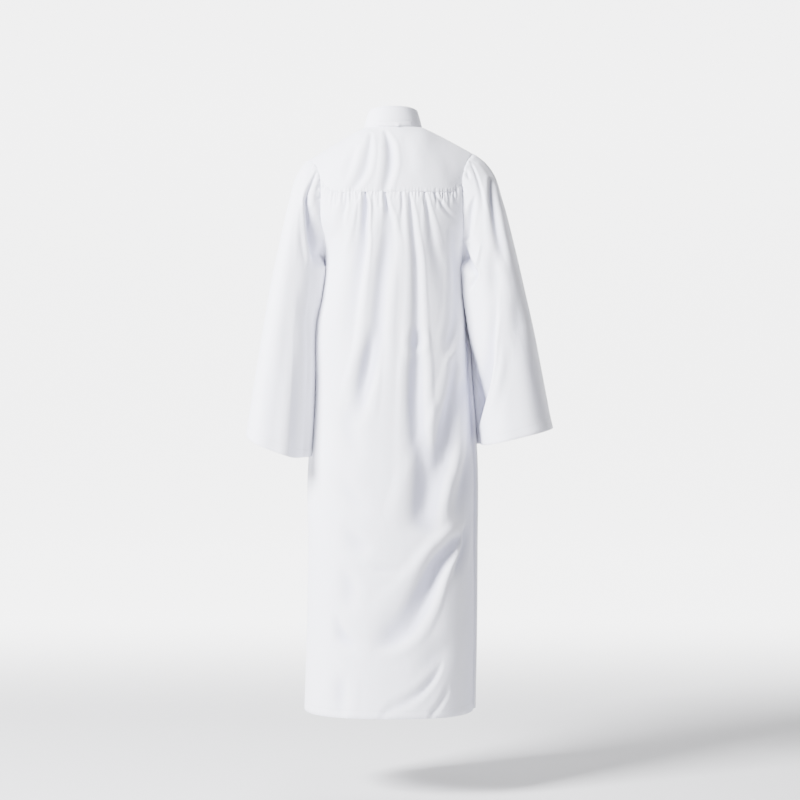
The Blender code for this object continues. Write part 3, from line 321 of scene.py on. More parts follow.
def read_smoothly(places, values, at):
    order = np.argsort(places)
    places = np.asarray(places, float)[order]
    values = np.asarray(values, float)[order]
    slopes = np.gradient(values, places)
    at = np.clip(np.asarray(at, float), places[0], places[-1])
    row = np.clip(np.searchsorted(places, at) - 1, 0, len(places) - 2)
    step = places[row + 1] - places[row]
    leave, arrive = slopes[row] * step, slopes[row + 1] * step
    return hermite(values[row], leave, values[row + 1], arrive, (at - places[row]) / step)


def column(columns, rows, name):
    place = columns.index(name)
    return [row[place] for row in rows]


def body(name, level):
    heights = column(BODY_COLUMNS, BODY_ROWS, "height")
    return read_smoothly(heights, column(BODY_COLUMNS, BODY_ROWS, name), level)


def unit(vectors):
    return vectors / np.linalg.norm(vectors, axis=-1, keepdims=True)


def run_along(line):
    """Distance along a line from its first point to each of its points."""
    return np.concatenate([[0], np.cumsum(np.linalg.norm(np.diff(line, axis=0), axis=1))])


def read_along(run, values, at):
    """The values of a line's points, read at distances along it."""
    return np.stack([np.interp(at, run, part) for part in np.asarray(values).T], axis=-1)


def nearest_row(values, wanted):
    return int(np.argmin(np.abs(np.asarray(values) - wanted)))


def normals_of(grid):
    """Unit normals of a grid of points, outwards when its columns run towards the left seen from behind."""
    normal = np.cross(np.gradient(grid, axis=1), np.gradient(grid, axis=0))
    return normal / np.maximum(np.linalg.norm(normal, axis=2, keepdims=True), 1e-12)


def smooth_line(path):
    """A fold's line with many short steps."""
    path = np.asarray(path, float)
    at = np.linspace(0, 1, PATH_SAMPLES)
    if len(path) == 2:
        return path[0] + (path[1] - path[0]) * at[:, None]
    knots = np.linspace(0, 1, len(path))
    return np.stack([read_smoothly(knots, path[:, axis], at) for axis in (0, 1)], axis=1)


def nearest_on_line(line, place):
    """For each place, how far it is from a line, how far along, and whether it is on its left or right."""
    start = line[:-1]
    run = line[1:] - start
    from_start = place[:, None, :] - start
    along = np.clip((from_start * run).sum(-1) / (run * run).sum(-1), 0.0, 1.0)
    distance = np.linalg.norm(from_start - along[..., None] * run, axis=-1)
    nearest = distance.argmin(-1)
    pick = np.arange(len(nearest))
    offset = from_start[pick, nearest]
    side = np.sign(run[nearest, 0] * offset[:, 1] - run[nearest, 1] * offset[:, 0])
    return distance[pick, nearest], (nearest + along[pick, nearest]) / len(run), side


def trough(spread, width):
    """A fold's profile, 1 at its middle. Narrow folds are crisper, and each has a low lip beside it."""
    inside = np.clip(spread, 0.0, 1.0)
    crisp = 0.6 - 0.6 * smooth_step((width - 0.006) / 0.012)
    soft_trough = 0.5 * (1 + np.cos(np.pi * inside))
    rounded = np.sqrt(inside**2 + 0.01) - 0.1
    crisp_trough = np.clip(1 - rounded / 0.905, 0, 1) ** 2
    lip = np.sin(np.pi * np.clip((spread - 0.75) / 1.05, 0.0, 1.0)) ** 2
    return soft_trough * (1 - crisp) + crisp_trough * crisp - 0.14 * lip


def fold_relief(grid, folds):
    """How far the folds press the cloth in, or with a negative depth lift it, at each point of a grid."""
    sideways, heights = grid[..., 0], grid[..., 2]
    total = np.zeros_like(sideways)
    for _, path, depths, widths, steeper_right in folds:
        line = smooth_line(path)
        reach = 1.9 * MILLIMETRE * max(widths) * (1 + abs(steeper_right))
        low, high = line.min(0) - reach, line.max(0) + reach
        near = (sideways > low[0]) & (sideways < high[0]) & (heights > low[1]) & (heights < high[1])
        if not near.any():
            continue
        away, share, side = nearest_on_line(line, np.stack([sideways[near], heights[near]], axis=-1))
        width = MILLIMETRE * np.interp(share, np.linspace(0, 1, len(widths)), widths)
        if len(depths) > 2:
            depth = MILLIMETRE * read_smoothly(np.linspace(0, 1, len(depths)), depths, share)
        else:
            depth = MILLIMETRE * np.interp(share, (0, 1), depths)
        total[near] += depth * trough(away / (width * (1.0 + side * steeper_right)), width)
    return total


def core_to_trough(path, depths, widths, steeper_right):
    """A whole trough for a dark core. The light comes from the left, so the core is its left flank only."""
    middling = float(np.mean(widths))
    widths = [width * (1.25 + 0.55 * float(smooth_step((width - 4) / 8))) for width in widths]
    depths = [depth * (1.3 + 0.35 * float(np.clip((middling - 6) / 8, 0, 1))) for depth in depths]
    if max(depths) <= 0:
        return path, depths, widths
    run = unit(np.gradient(path, axis=0))
    to_right = np.stack([-run[:, 1], run[:, 0]], axis=1)
    to_right *= np.where(to_right[:, :1] > 0, -1.0, 1.0)
    reach = MILLIMETRE * np.interp(np.linspace(0, 1, len(path)), np.linspace(0, 1, len(widths)), widths)
    return path + to_right * (0.5 * (1 + steeper_right) * reach)[:, None], depths, widths


def picked_in_photo(rows, behind, whole=False):
    """Folds from rows read off the photo, on cloth that stands behind the shoulders by a distance."""
    metres = PHOTO_SCALE * (CAMERA_DISTANCE - behind) / CAMERA_DISTANCE
    folds = []
    for name, line, depths, widths, steeper_right in rows:
        path = np.array((CAMERA_SIDE, CAMERA_LEVEL)) - (np.asarray(line, float) - PHOTO_MIDDLE) * metres
        if not whole:
            path, depths, widths = core_to_trough(path, depths, widths, steeper_right)
        folds.append((name, path, depths, widths, steeper_right))
    return tuple(folds)


def hidden_folds(rows):
    """Folds from the rows of the cloth that the photo doesn't show, rounded to a tenth of a millimetre."""
    folds = []
    for name, path, depths, widths, steeper_right in rows:
        depths = [round(depth * HIDDEN_DEEPER, 1) for depth in depths]
        widths = [round(width * HIDDEN_WIDER, 1) for width in widths]
        folds.append((name, path, depths, widths, steeper_right))
    return tuple(folds)


def slow_waves(sideways, heights, seed, waves):
    """Small uneven swells, long down the cloth, that keep a panel from lying flat between its folds."""
    amount, lengths = waves
    chance = np.random.default_rng(seed)
    total = np.zeros_like(sideways)
    for _ in range(9):
        across = chance.uniform(0.7, 1.6) * 2 * math.pi / lengths[0] * chance.choice([-1, 1])
        down = chance.uniform(0.6, 1.5) * 2 * math.pi / lengths[1]
        total += np.sin(across * sideways + down * heights + chance.uniform(0, 2 * math.pi))
    return total / 9 * amount


def section(face, across, level):
    """Points of the body at a level. face is 1 at the back and -1 in front, across is 1 at the left edge."""
    turn = across * (math.pi / 2 - np.radians(body("armhole", level)))
    half_width = np.where(across >= 0, body("left", level), body("right", level))
    half_depth = body("back" if face > 0 else "front", level)
    sideways = half_width * np.sign(turn) * np.abs(np.sin(turn)) ** SECTION_SQUARENESS
    depth = face * half_depth * np.abs(np.cos(turn)) ** SECTION_SQUARENESS
    return np.stack([sideways, depth, level], axis=-1)


def base_level(face):
    return YOKE_SEAM_LEVEL if face > 0 else CHEST_LEVEL


def top_level(face, across):
    rise = np.where(across >= 0, *YOKE_SEAM_RISE)
    return base_level(face) + rise * np.clip((np.abs(across) - 0.70) / 0.30, 0.0, 1.0) ** 1.6


def lower_level(face, across, drop):
    base = base_level(face)
    fade = 1.0 - smooth_step(drop / (base - UNDERARM_LEVEL))
    return base - drop + (top_level(face, across) - base) * fade


def shoulder_and_neck(face, across):
    """The neck seam, then the shoulder line out to the armhole."""
    left = across >= 0
    neck_side, neck_height = (np.where(left, *pair) for pair in zip(NECK_LEFT, NECK_RIGHT))
    end_side, end_height = (np.where(left, *pair) for pair in zip(SHOULDER_LEFT, SHOULDER_RIGHT))
    turn = np.clip(np.abs(across) / NECK_SHARE, 0.0, 1.0) * math.pi / 2
    out = np.clip((np.abs(across) - NECK_SHARE) / (1 - NECK_SHARE), 0.0, 1.0)
    middle, reach = (0.0, NECK_BACK) if face > 0 else (NECK_FRONT_LEVEL, NECK_FRONT)
    sideways = np.sign(across) * (neck_side * np.sin(turn) + (end_side - neck_side) * out)
    height = middle + (neck_height - middle) * np.sin(turn) ** 1.5 + (end_height - neck_height) * out**1.1
    return np.stack([sideways, face * reach * np.cos(turn), height], axis=-1)


def upper_cloth(face, across, share):
    """Cloth from the neck and shoulder line down to the yoke seam, or to the chest line at the front."""
    start = shoulder_and_neck(face, across)
    level = top_level(face, across)
    end = section(face, across, level)
    chord = np.linalg.norm(end - start, axis=-1, keepdims=True)
    arrive = unit(section(face, across, level - 0.004) - end) * chord
    over = smooth_step(np.abs(across) / NECK_SHARE)[..., None]
    edge = smooth_step((np.abs(across) - 0.75) / 0.25)[..., None]
    to_face = np.array([1.0, face, 1.0])
    to_side = np.sign(across)[..., None] * np.array([1.0, 0.0, 0.0])
    at_armhole = (0.0, 0.97, 0.09) * to_face - to_side * 0.25
    beside_neck = over * (1 - smooth_step((np.abs(across) - NECK_SHARE) / 0.2)[..., None])
    leave = (0.0, 0.64, -0.77) * to_face * (1 - over) + (0.0, 1.0, -0.06) * to_face * over
    leave = leave + to_side * 0.3 * beside_neck
    leave = (leave * (1 - edge) + at_armhole * edge) * chord * 1.1
    return hermite(start, leave, end, arrive, share[..., None])


def tucked(grid, end, tuck, normal):
    """The grid with one more row past its first or last one, turned in under what it is sewn to."""
    along, inward = tuck
    row, before = (0, 1) if end == "first" else (-1, -2)
    extra = grid[row] + unit(grid[row] - grid[before]) * along - normal[row] * inward
    return np.concatenate([extra[None], grid] if end == "first" else [grid, extra[None]])


def turned_hem(grid, normal, depth):
    """The grid with its lowest edge folded over and turned up inside, as a hem is."""
    up = unit(grid[-2] - grid[-1])
    inwards = -normal[-1]
    rows = [grid[-1] - up * 0.0005 + inwards * WALL * 0.5, grid[-1] + up * 0.0001 + inwards * WALL * 1.6]
    rise = np.linalg.norm(grid - grid[-1:], axis=2).mean(1)
    for share in HEM_LINING_SHARES:
        place = float(np.interp(depth * share, rise[::-1], np.arange(len(rise))[::-1]))
        above, rest = int(place), place - int(place)
        below = min(above + 1, len(grid) - 1)
        inside = [sheet[above] * (1 - rest) + sheet[below] * rest for sheet in (grid, normal)]
        rows.append(inside[0] - inside[1] * WALL * 2.0)
    return np.concatenate([grid, np.stack(rows)])


def spread_to(sheet, values, columns=0):
    """A grid's values carried on over one row added before it, columns each side, and the rest after it."""
    added = ((1, len(sheet) - len(values) - 1), (columns, columns), (0, 0))
    return np.pad(values, added[: values.ndim], mode="edge")


def cloth_lengths(grid):
    """Distance along the cloth of each point, across from the first column and down from the first row."""
    across = np.linalg.norm(np.diff(grid, axis=1), axis=2).mean(0)
    down = np.linalg.norm(np.diff(grid, axis=0), axis=2).mean(1)
    steps = (np.concatenate([[0], np.cumsum(lengths)]) for lengths in (across, down))
    return np.stack(np.meshgrid(*steps), axis=-1)


def new_piece(name, points, faces, finish, closed=False):
    """A smooth piece in one finish. A closed one has its small holes filled and its faces turned outwards."""
    mesh = bpy.data.meshes.new(name)
    mesh.from_pydata(np.asarray(points).reshape(-1, 3).tolist(), [], faces)
    if closed:
        made = bmesh.new()
        made.from_mesh(mesh)
        bmesh.ops.holes_fill(made, edges=made.edges[:], sides=5)
        bmesh.ops.recalc_face_normals(made, faces=made.faces[:])
        made.to_mesh(mesh)
        made.free()
    mesh.shade_smooth()
    mesh.materials.append(finish)
    piece = bpy.data.objects.new(name, mesh)
    bpy.context.scene.collection.objects.link(piece)
    return piece


def fill_layers(piece, uv, painted_fold_shade):
    """A UV map in metres of cloth, and how deep in a fold each point lies, for the finish's painted shade."""
    layer = piece.data.uv_layers.new(name="cloth")
    layer.data.foreach_set("uv", uv.astype(np.float32).ravel())
    shade = piece.data.attributes.new("painted_fold_shade", "FLOAT", "POINT")
    shade.data.foreach_set("value", painted_fold_shade.astype(np.float32).ravel())


def stand_for(node, piece):
    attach(piece, "robe")
    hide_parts(node)


def sewn_piece(name, grid, finish, wall=WALL, round_tube=False, painted_fold_shade=None, turned=False):
    """A sheet through a grid of points with its thickness inwards, and a UV map in metres of cloth."""
    if painted_fold_shade is None:
        painted_fold_shade = np.zeros(grid.shape[:2])
    if turned:
        grid, painted_fold_shade = grid[:, ::-1], painted_fold_shade[:, ::-1]
    rows, columns = grid.shape[:2]
    around = columns if round_tube else columns - 1
    place = np.arange(rows * columns).reshape(rows, columns)
    right = np.roll(place, -1, axis=1)
    faces = np.stack([place[:-1], right[:-1], right[1:], place[1:]], axis=-1)[:, :around].reshape(-1, 4)
    piece = new_piece(name, grid, faces.tolist(), finish)
    uv = cloth_lengths(np.concatenate([grid, grid[:, :1]], axis=1) if round_tube else grid)
    here, beside = slice(None, around), slice(1, around + 1)
    corners = [uv[:-1, here], uv[:-1, beside], uv[1:, beside], uv[1:, here]]
    fill_layers(piece, np.stack(corners, axis=2), painted_fold_shade)
    shell = piece.modifiers.new("cloth thickness", "SOLIDIFY")
    shell.thickness = wall
    shell.offset = -1.0
    return piece


# A stitch's rings: the share of its length, its thickness there, and its lift off the cloth in radii
STITCH_RINGS = ((0.0, 0.6, -0.5), (0.2, 1.0, 0.7), (0.5, 1.05, 1.0), (0.8, 1.0, 0.7), (1.0, 0.6, -0.5))
STITCH_SIDES = 4


def stitch_row(path, outwards, pitch, length, radius):
    """Points and faces of a row of stitches along a path, each a small thread that dips in at both ends."""
    run = run_along(path)
    count = int(run[-1] // pitch)
    starts = np.arange(count) * pitch + (run[-1] - count * pitch) / 2
    out = unit(read_along(run, outwards, starts + length / 2))
    along = unit(read_along(run, path, starts + length) - read_along(run, path, starts))
    side = np.cross(out, along)
    rings = []
    for share, size, lift in STITCH_RINGS:
        centre = read_along(run, path, starts + length * share) + out * radius * lift
        turns = np.arange(STITCH_SIDES) * 2 * math.pi / STITCH_SIDES
        rings.append([centre + (side * math.cos(a) + out * math.sin(a)) * radius * size for a in turns])
    points = np.array(rings).transpose(2, 0, 1, 3)
    corner = np.arange(STITCH_SIDES)
    beside = (corner + 1) % STITCH_SIDES
    band = np.stack([corner, beside, beside + STITCH_SIDES, corner + STITCH_SIDES], axis=1)
    stitch = np.concatenate([band + ring * STITCH_SIDES for ring in range(len(rings) - 1)])
    faces = stitch[None] + (np.arange(count) * len(rings) * STITCH_SIDES)[:, None, None]
    return points.reshape(-1, 3), faces.reshape(-1, 4)


def stitching(name, lines, size, finish):
    """One piece that holds several rows of stitches of a size."""
    points, faces, first = [], [], 0
    for path, outwards in lines:
        row_points, row_faces = stitch_row(path, outwards, **size)
        points.append(row_points)
        faces.append(row_faces + first)
        first += len(row_points)
    piece = new_piece(name, np.concatenate(points), np.concatenate(faces).tolist(), finish, closed=True)
    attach(piece, "robe")


# How deep in a fold a point lies, from 0 to 1, which the cloth's finish paints as cooler, darker shade.
def painted_shade_of_folds(relief, least=0.0015, most=0.009):
    return np.clip((relief - least) / (most - least), 0.0, 1.0)


GATHER_BULGE = 0.0045
GATHER_BULGE_LENGTH = 0.011
GATHER_SEED = 7
GATHER_COUNT = 46
GATHER_SPAN = (0.156, -0.148)


def small_gathers(top, reach, deep):
    """Tiny uneven puckers along the yoke seam. top gives their upper end's height at a sideways place."""
    chance = np.random.default_rng(GATHER_SEED)
    span = abs(GATHER_SPAN[1] - GATHER_SPAN[0])
    places = np.linspace(*GATHER_SPAN, GATHER_COUNT)
    places = places + chance.uniform(-0.35, 0.35, GATHER_COUNT) * span / GATHER_COUNT
    rows = []
    for place in places:
        long = chance.uniform(*reach)
        drift = chance.uniform(-0.12, 0.12) * long
        start = float(top(place)) - 0.001
        depth, width = chance.uniform(*deep), chance.uniform(2.4, 4.2)
        path = ((place, start), (place + drift * 0.5, start - long * 0.5), (place + drift, start - long))
        rows.append(("pucker", path, (depth, depth * 0.6, 0.0), (width, width * 1.3, width * 1.8), 0.0))
    return tuple(rows)


def rows_down(length, *stretches):
    """Drops down a panel, closest together at its top. Each stretch gives its end and its count of steps."""
    drops, start = [], 0.0
    for end, count in stretches:
        drops.append(np.linspace(start, end, count)[:-1])
        start = end
    return np.concatenate([*drops, np.linspace(start, length[0], length[1])])


def seam_height_at(sideways):
    """Height of the yoke seam at a sideways place on the back."""
    across = np.linspace(-1, 1, 400)
    line = section(1, across, top_level(1, across))
    return np.interp(sideways, line[:, 0], line[:, 2])


def make_back(finish):
    drops = rows_down((YOKE_SEAM_LEVEL - HEM_LEVEL, 110), (0.060, 39), (0.200, 44))
    across, drop = np.meshgrid(np.linspace(-1, 1, 241), drops)
    grid = section(1, across, lower_level(1, across, drop) - 0.0003)
    side_fade = smooth_step((1.0 - np.abs(across)) / 0.035)
    bulge = GATHER_BULGE * (1 - np.exp(-drop / GATHER_BULGE_LENGTH)) * (1 - smooth_step(drop / 0.30))
    folds = picked_in_photo(BACK_CORES, CLOTH_BEHIND["back"])
    folds += picked_in_photo(BACK_HOLLOWS, CLOTH_BEHIND["back"], whole=True)
    pressed = fold_relief(grid, folds + small_gathers(seam_height_at, (0.014, 0.044), (1.4, 3.6)))
    waves = slow_waves(grid[..., 0], grid[..., 2], 11, BACK_WAVES) * smooth_step((drop - 0.02) / 0.1)
    grid = grid + normals_of(grid) * ((bulge + waves - pressed) * side_fade)[..., None]
    normal = normals_of(grid)
    sheet = tucked(turned_hem(grid, normal, HEM_DEPTH), "first", GATHERED_TUCK, normal)
    painted_fold_shade = spread_to(sheet, painted_shade_of_folds(pressed * side_fade))
    piece = sewn_piece("back_panel_cloth", sheet, finish, painted_fold_shade=painted_fold_shade)
    stand_for("back_panel", piece)
    hem = nearest_row(drops, drops[-1] - HEM_DEPTH)
    return piece, (grid[hem], normal[hem])


def eased(grid, amount):
    """The grid with its columns smoothed sideways, so that the neck's corner leaves no crease below it."""
    spread = 11
    weight = np.exp(-((np.arange(-2 * spread, 2 * spread + 1) / spread) ** 2))
    weight = weight / weight.sum()
    steps = np.pad(grid, ((0, 0), (2 * spread, 2 * spread), (0, 0)), mode="reflect", reflect_type="odd")
    smooth = sum(w * steps[:, n : n + grid.shape[1]] for n, w in enumerate(weight))
    return grid + (smooth - grid) * amount


def make_yoke(finish):
    shares = np.linspace(0, 1, 64)
    across, share = np.meshgrid(np.linspace(-1, 1, 221), shares)
    grid = eased(upper_cloth(1, across, share), smooth_step(share / 0.25)[..., None])
    fade = smooth_step((1.0 - np.abs(across)) / 0.05) * smooth_step(share / 0.06)
    puckers = small_gathers(lambda place: seam_height_at(place) + 0.007, (0.008, 0.010), (0.7, 1.8))
    pressed = fold_relief(grid, picked_in_photo(YOKE_CORES, CLOTH_BEHIND["yoke"]) + puckers)
    waves = slow_waves(grid[..., 0], grid[..., 2], 5, YOKE_WAVES) * smooth_step((1 - share) / 0.15)
    lip = 0.0006 * smooth_step((share - 0.93) / 0.05)
    grid = grid + normals_of(grid) * ((waves - pressed) * fade + lip)[..., None]
    normal = normals_of(grid)
    sheet = tucked(tucked(grid, "last", YOKE_FOOT_TUCK, normal), "first", YOKE_NECK_TUCK, normal)
    piece = sewn_piece("back_yoke_cloth", sheet, finish, painted_fold_shade=spread_to(sheet, painted_shade_of_folds(pressed * fade)))
    stand_for("back_yoke", piece)
    seam = nearest_row(shares, 0.985)
    return piece, (grid[seam], normal[seam])


FRONT_UPPER_ROWS = 40
ZIP_STITCH_COLUMN = 4


def make_front(side, finish):
    """One front, from the zip edge to the side seam. side is 1 for the wearer's left."""
    columns = np.linspace(ZIP_EDGE, 1, 83) * side
    across, share = np.meshgrid(columns, np.linspace(0, 1, FRONT_UPPER_ROWS))
    upper = upper_cloth(-1, across, share)
    across, drop = np.meshgrid(columns, rows_down((CHEST_LEVEL - HEM_LEVEL, 130), (0.170, 46))[1:])
    grid = np.concatenate([upper, section(-1, across, lower_level(-1, across, drop))])
    top_fade = smooth_step(np.concatenate([share[:, :1], np.full((len(drop), 1), 2.0)]) / 0.25)
    fade = top_fade * smooth_step((1.0 - np.abs(columns)) / 0.05)[None, :]
    fade = fade * (0.25 + 0.75 * smooth_step(np.abs(columns) / 0.12))[None, :]
    pressed = fold_relief(grid, hidden_folds(FRONT_FOLDS))
    waves = slow_waves(grid[..., 0], grid[..., 2], 21 + side, FRONT_WAVES)
    grid = grid + normals_of(grid) * -side * ((waves - pressed) * fade)[..., None]
    closed = smooth_step((ZIP_FOOT_LEVEL - grid[..., 2]) / 0.03)
    edge = ZIP_HALF_GAP * (1 - closed) + 0.0004 * closed
    grid[..., 0] += side * edge * (1.0 - np.abs(columns))[None, :]
    normal = normals_of(grid) * -side
    sheet = tucked(turned_hem(grid, normal, HEM_DEPTH), "first", SHOULDER_TUCK, normal)
    inward = spread_to(sheet, normal).transpose(1, 0, 2)
    sheet = tucked(sheet.transpose(1, 0, 2), "first", ZIP_EDGE_TUCK, inward)
    sheet = tucked(sheet, "last", SIDE_SEAM_TUCK, inward).transpose(1, 0, 2)
    painted_fold_shade = spread_to(sheet, painted_shade_of_folds(pressed * fade), columns=1)
    node = "front_panel_left" if side > 0 else "front_panel_right"
    piece = sewn_piece(node + "_cloth", sheet, finish, painted_fold_shade=painted_fold_shade, turned=side > 0)
    stand_for(node, piece)
    hem = nearest_row(grid[:, 40, 2] - grid[-1, 0, 2], HEM_DEPTH)
    zipped = grid[:, ZIP_STITCH_COLUMN, 2] > ZIP_FOOT_LEVEL
    zip_edge = (grid[zipped, ZIP_STITCH_COLUMN], normal[zipped, ZIP_STITCH_COLUMN])
    return piece, (grid[hem], normal[hem]), zip_edge


def armhole_loop(side):
    """Points round an armhole from the shoulder down the back and up the front, and each one's turn."""
    even = np.linspace(0, 1, 146)
    lines = []
    for face in (1, -1):
        share = np.linspace(0, 1, 40)
        upper = upper_cloth(face, np.full(share.shape, float(side)), share)
        down = np.linspace(0, base_level(face) - UNDERARM_LEVEL, 50)[1:]
        along = np.full(down.shape, float(side))
        line = np.concatenate([upper, section(face, along, lower_level(face, along, down))])
        line[[0, -1], 1] = 0.0
        run = run_along(line)
        lines.append(read_along(run / run[-1], line, even))
    turn = math.pi * even
    return np.concatenate([lines[0], lines[1][-2:0:-1]]), np.concatenate([turn, 2 * math.pi - turn[-2:0:-1]])


def sleeve_ring(rows, side, turn, share):
    places = column(SLEEVE_COLUMNS, rows, "share")
    names = SLEEVE_COLUMNS[1:]
    read = {name: read_smoothly(places, column(SLEEVE_COLUMNS, rows, name), share) for name in names}
    settled = smooth_step(share / 0.25) * np.where(np.sin(turn) > 0, 1.0, 0.5)
    flat = SLEEVE_ROUNDNESS - SLEEVE_FLATTENING * settled
    reach = np.sign(np.cos(turn)) * np.abs(np.cos(turn)) ** flat
    lean = np.sign(np.sin(turn)) * np.abs(np.sin(turn)) ** flat
    sideways = (read["outer"] + read["inner"]) / 2 + (read["outer"] - read["inner"]) / 2 * reach
    height = (read["outer_height"] + read["inner_height"]) / 2
    height = height + (read["outer_height"] - read["inner_height"]) / 2 * reach
    height = height - read["back_drop"] * np.where(lean > 0, lean, -0.5 * lean)
    depth = np.where(lean > 0, read["back"], read["front"]) * lean
    return np.stack([side * sideways, depth, height], axis=-1)


HEAD_GATHERS = 64
SLEEVE_LENGTH = 0.70
SLEEVE_RADIUS = 0.10
SLEEVE_PUFF = 0.0042


def head_gathers(loop, turns, length, seed):
    """How far the small gathers round the sleeve head press in, at a length down from the armhole seam."""
    run = run_along(loop)
    whole = run[-1] + np.linalg.norm(loop[0] - loop[-1])
    place = np.broadcast_to(run[None], turns.shape)
    chance = np.random.default_rng(seed)
    total = np.zeros_like(turns)
    for number in range(HEAD_GATHERS):
        middle = (number + chance.uniform(-0.3, 0.3)) / HEAD_GATHERS * whole
        from_top = min(middle, whole - middle) / whole
        strength = 1.0 - float(smooth_step((from_top - 0.15) / 0.22))
        depth, width = chance.uniform(0.0010, 0.0036) * strength, chance.uniform(0.0028, 0.0050)
        reach, drift = chance.uniform(0.012, 0.045), chance.uniform(-0.10, 0.10)
        away = place - middle - drift * length
        away = np.abs((away + whole / 2) % whole - whole / 2)
        rise = smooth_step(length / 0.003 + 0.3) * (1 - smooth_step(length / reach))
        total += depth * rise * np.exp(-((away / (width * (1 + length / 0.05))) ** 2))
    return total


def laid_against_body(grid, turns, side):
    """The sleeve's inner side brought to the body beside the side seam, as a hanging sleeve lies."""
    level = np.clip(grid[..., 2], HEM_LEVEL, BODY_ROWS[0][0])
    half_width = body("left" if side > 0 else "right", level)
    depth = np.abs(grid[..., 1])
    half_depth = np.where(grid[..., 1] > 0, body("back", level), body("front", level))
    share = np.clip(depth / half_depth, 0.0, 0.999)
    edge = half_width * (1 - share ** (2 / SECTION_SQUARENESS)) ** (SECTION_SQUARENESS / 2)
    amount = smooth_step(depth / 0.014) * (1 - smooth_step((depth - 0.055) / 0.035))
    amount = amount * smooth_step(-np.cos(turns) / 0.3)
    amount = amount * smooth_step((UNDERARM_LEVEL + 0.034 - grid[..., 2]) / 0.036)
    if side < 0:
        amount = amount * (1 - smooth_step((BELL_RECESS_TOP - level) / 0.10) * (grid[..., 1] > 0))
    sideways = grid[..., 0] * side
    nearer = np.maximum(sideways - 0.016 * amount, np.minimum(edge + 0.0014, sideways))
    return np.concatenate([(side * nearer)[..., None], grid[..., 1:]], axis=-1)


def tube_normals(grid, side):
    return normals_of(np.concatenate([grid[:, -1:], grid, grid[:, :1]], axis=1))[:, 1:-1] * -side


SLEEVES = {
    1: (SLEEVE_LEFT_ROWS, SLEEVE_LEFT_CORES, SLEEVE_LEFT_HOLLOWS, SLEEVE_LEFT_FRONT_FOLDS),
    -1: (SLEEVE_RIGHT_ROWS, SLEEVE_RIGHT_CORES, SLEEVE_RIGHT_HOLLOWS, SLEEVE_RIGHT_FRONT_FOLDS),
}


def make_sleeve(side, finish):
    node = "sleeve_left" if side > 0 else "sleeve_right"
    rows, cores, hollows, front_folds = SLEEVES[side]
    loop, turn = armhole_loop(side)
    shares = np.concatenate([[0.0], 0.004 + 0.996 * np.linspace(0, 1, 120) ** 1.35])
    turns, share = np.meshgrid(turn, shares)
    grid = sleeve_ring(rows, side, turns, share)
    settled = smooth_step(share / SLEEVE_SETTLED_SHARE)[..., None]
    grid = grid + (loop[None] - sleeve_ring(rows, side, turns, share * 0)) * (1 - settled)
    grid = laid_against_body(grid, turns, side)
    grid[0] = loop + unit(grid[3] - grid[0]) * 0.0004
    folds = picked_in_photo(cores, CLOTH_BEHIND["sleeve"])
    folds += picked_in_photo(hollows, CLOTH_BEHIND["sleeve"], whole=True)
    behind, before = (smooth_step(way * grid[..., 1] / 0.022) for way in (1, -1))
    pressed = fold_relief(grid, folds) * behind + fold_relief(grid, hidden_folds(front_folds)) * before
    length = SLEEVE_LENGTH * share
    pressed = pressed * smooth_step((share - 0.004) / 0.03) + head_gathers(loop, turns, length, 51 + side)
    head = SLEEVE_PUFF * np.exp(-length / 0.018) * (1 - np.exp(-length / 0.004))
    waves = slow_waves(turns * SLEEVE_RADIUS, grid[..., 2], 31 + side, SLEEVE_WAVES)
    waves = waves * smooth_step(share / 0.1)
    grid = grid + tube_normals(grid, side) * (head + waves - pressed)[..., None]
    normal = tube_normals(grid, side)
    sheet = tucked(turned_hem(grid, normal, CUFF_HEM_DEPTH), "first", SLEEVE_HEAD_TUCK, normal)
    painted_fold_shade = spread_to(sheet, painted_shade_of_folds(pressed))
    piece = sewn_piece(node + "_cloth", sheet, finish, round_tube=True, painted_fold_shade=painted_fold_shade, turned=side > 0)
    stand_for(node, piece)
    cuff = nearest_row(np.linalg.norm(grid - grid[-1:], axis=2).mean(1), CUFF_HEM_DEPTH)
    ring = [*range(grid.shape[1]), 0]
    return piece, (grid[cuff, ring], normal[cuff, ring])


COLLAR_WALL = 0.0024
NECK_RADIUS = 0.07
COLLAR_HEIGHTS = (0.050, 0.038, 0.036)
COLLAR_LEAN = 0.010
COLLAR_FOOT = 0.0024
COLLAR_BOW = 0.0007
GROOVE_DEPTH = 0.0011
COLLAR_STITCH_SHARES = (0.07, 0.93)
NAPE_STRIP_LEVELS = (0.0135, 0.0015)
NAPE_STRIP_TURNS = (math.asin(-0.046 / NECK_RIGHT[0]), math.asin(0.035 / NECK_LEFT[0]))
NAPE_STRIP_WALL = 0.0008


def collar_points(turn, share, out=0.0):
    """Points out metres off the collar's outer face. turn runs round the neck from the nape to the left."""
    facing = np.cos(turn)
    behind = facing >= 0
    across = np.where(behind, turn, np.sign(turn) * (math.pi - np.abs(turn))) / (math.pi / 2) * NECK_SHARE
    base = np.where(behind[..., None], shoulder_and_neck(1, across), shoulder_and_neck(-1, across))
    nape, side, front = COLLAR_HEIGHTS
    height = side + np.where(behind, (nape - side) * np.abs(facing) ** 1.5, (front - side) * np.abs(facing))
    lean = 1.0 - COLLAR_LEAN / NECK_LEFT[0] * share
    foot = COLLAR_FOOT * np.clip(1 - share / 0.12, 0, 1) ** 2
    level = base[..., 2] + 0.0009 - foot + height * share
    points = np.stack([base[..., 0] * lean, base[..., 1] * lean, level], axis=-1)
    return points + unit(points * (1.0, 1.0, 0.0)) * np.asarray(out)[..., None]


def collar_profile():
    """Shares up the collar and distances off its outer face: up outside, over the top and down inside."""
    outer = [(share, 0.0) for share in np.linspace(0.0, 0.975, 40)]
    turns = np.linspace(0.3, math.pi - 0.3, 6)
    top = [(1.0 - 0.024 * (1 - math.sin(a)), -COLLAR_WALL / 2 * (1 - math.cos(a))) for a in turns]
    return np.array(outer + top + [(share, -COLLAR_WALL) for share in np.linspace(0.975, 0.0, 8)])


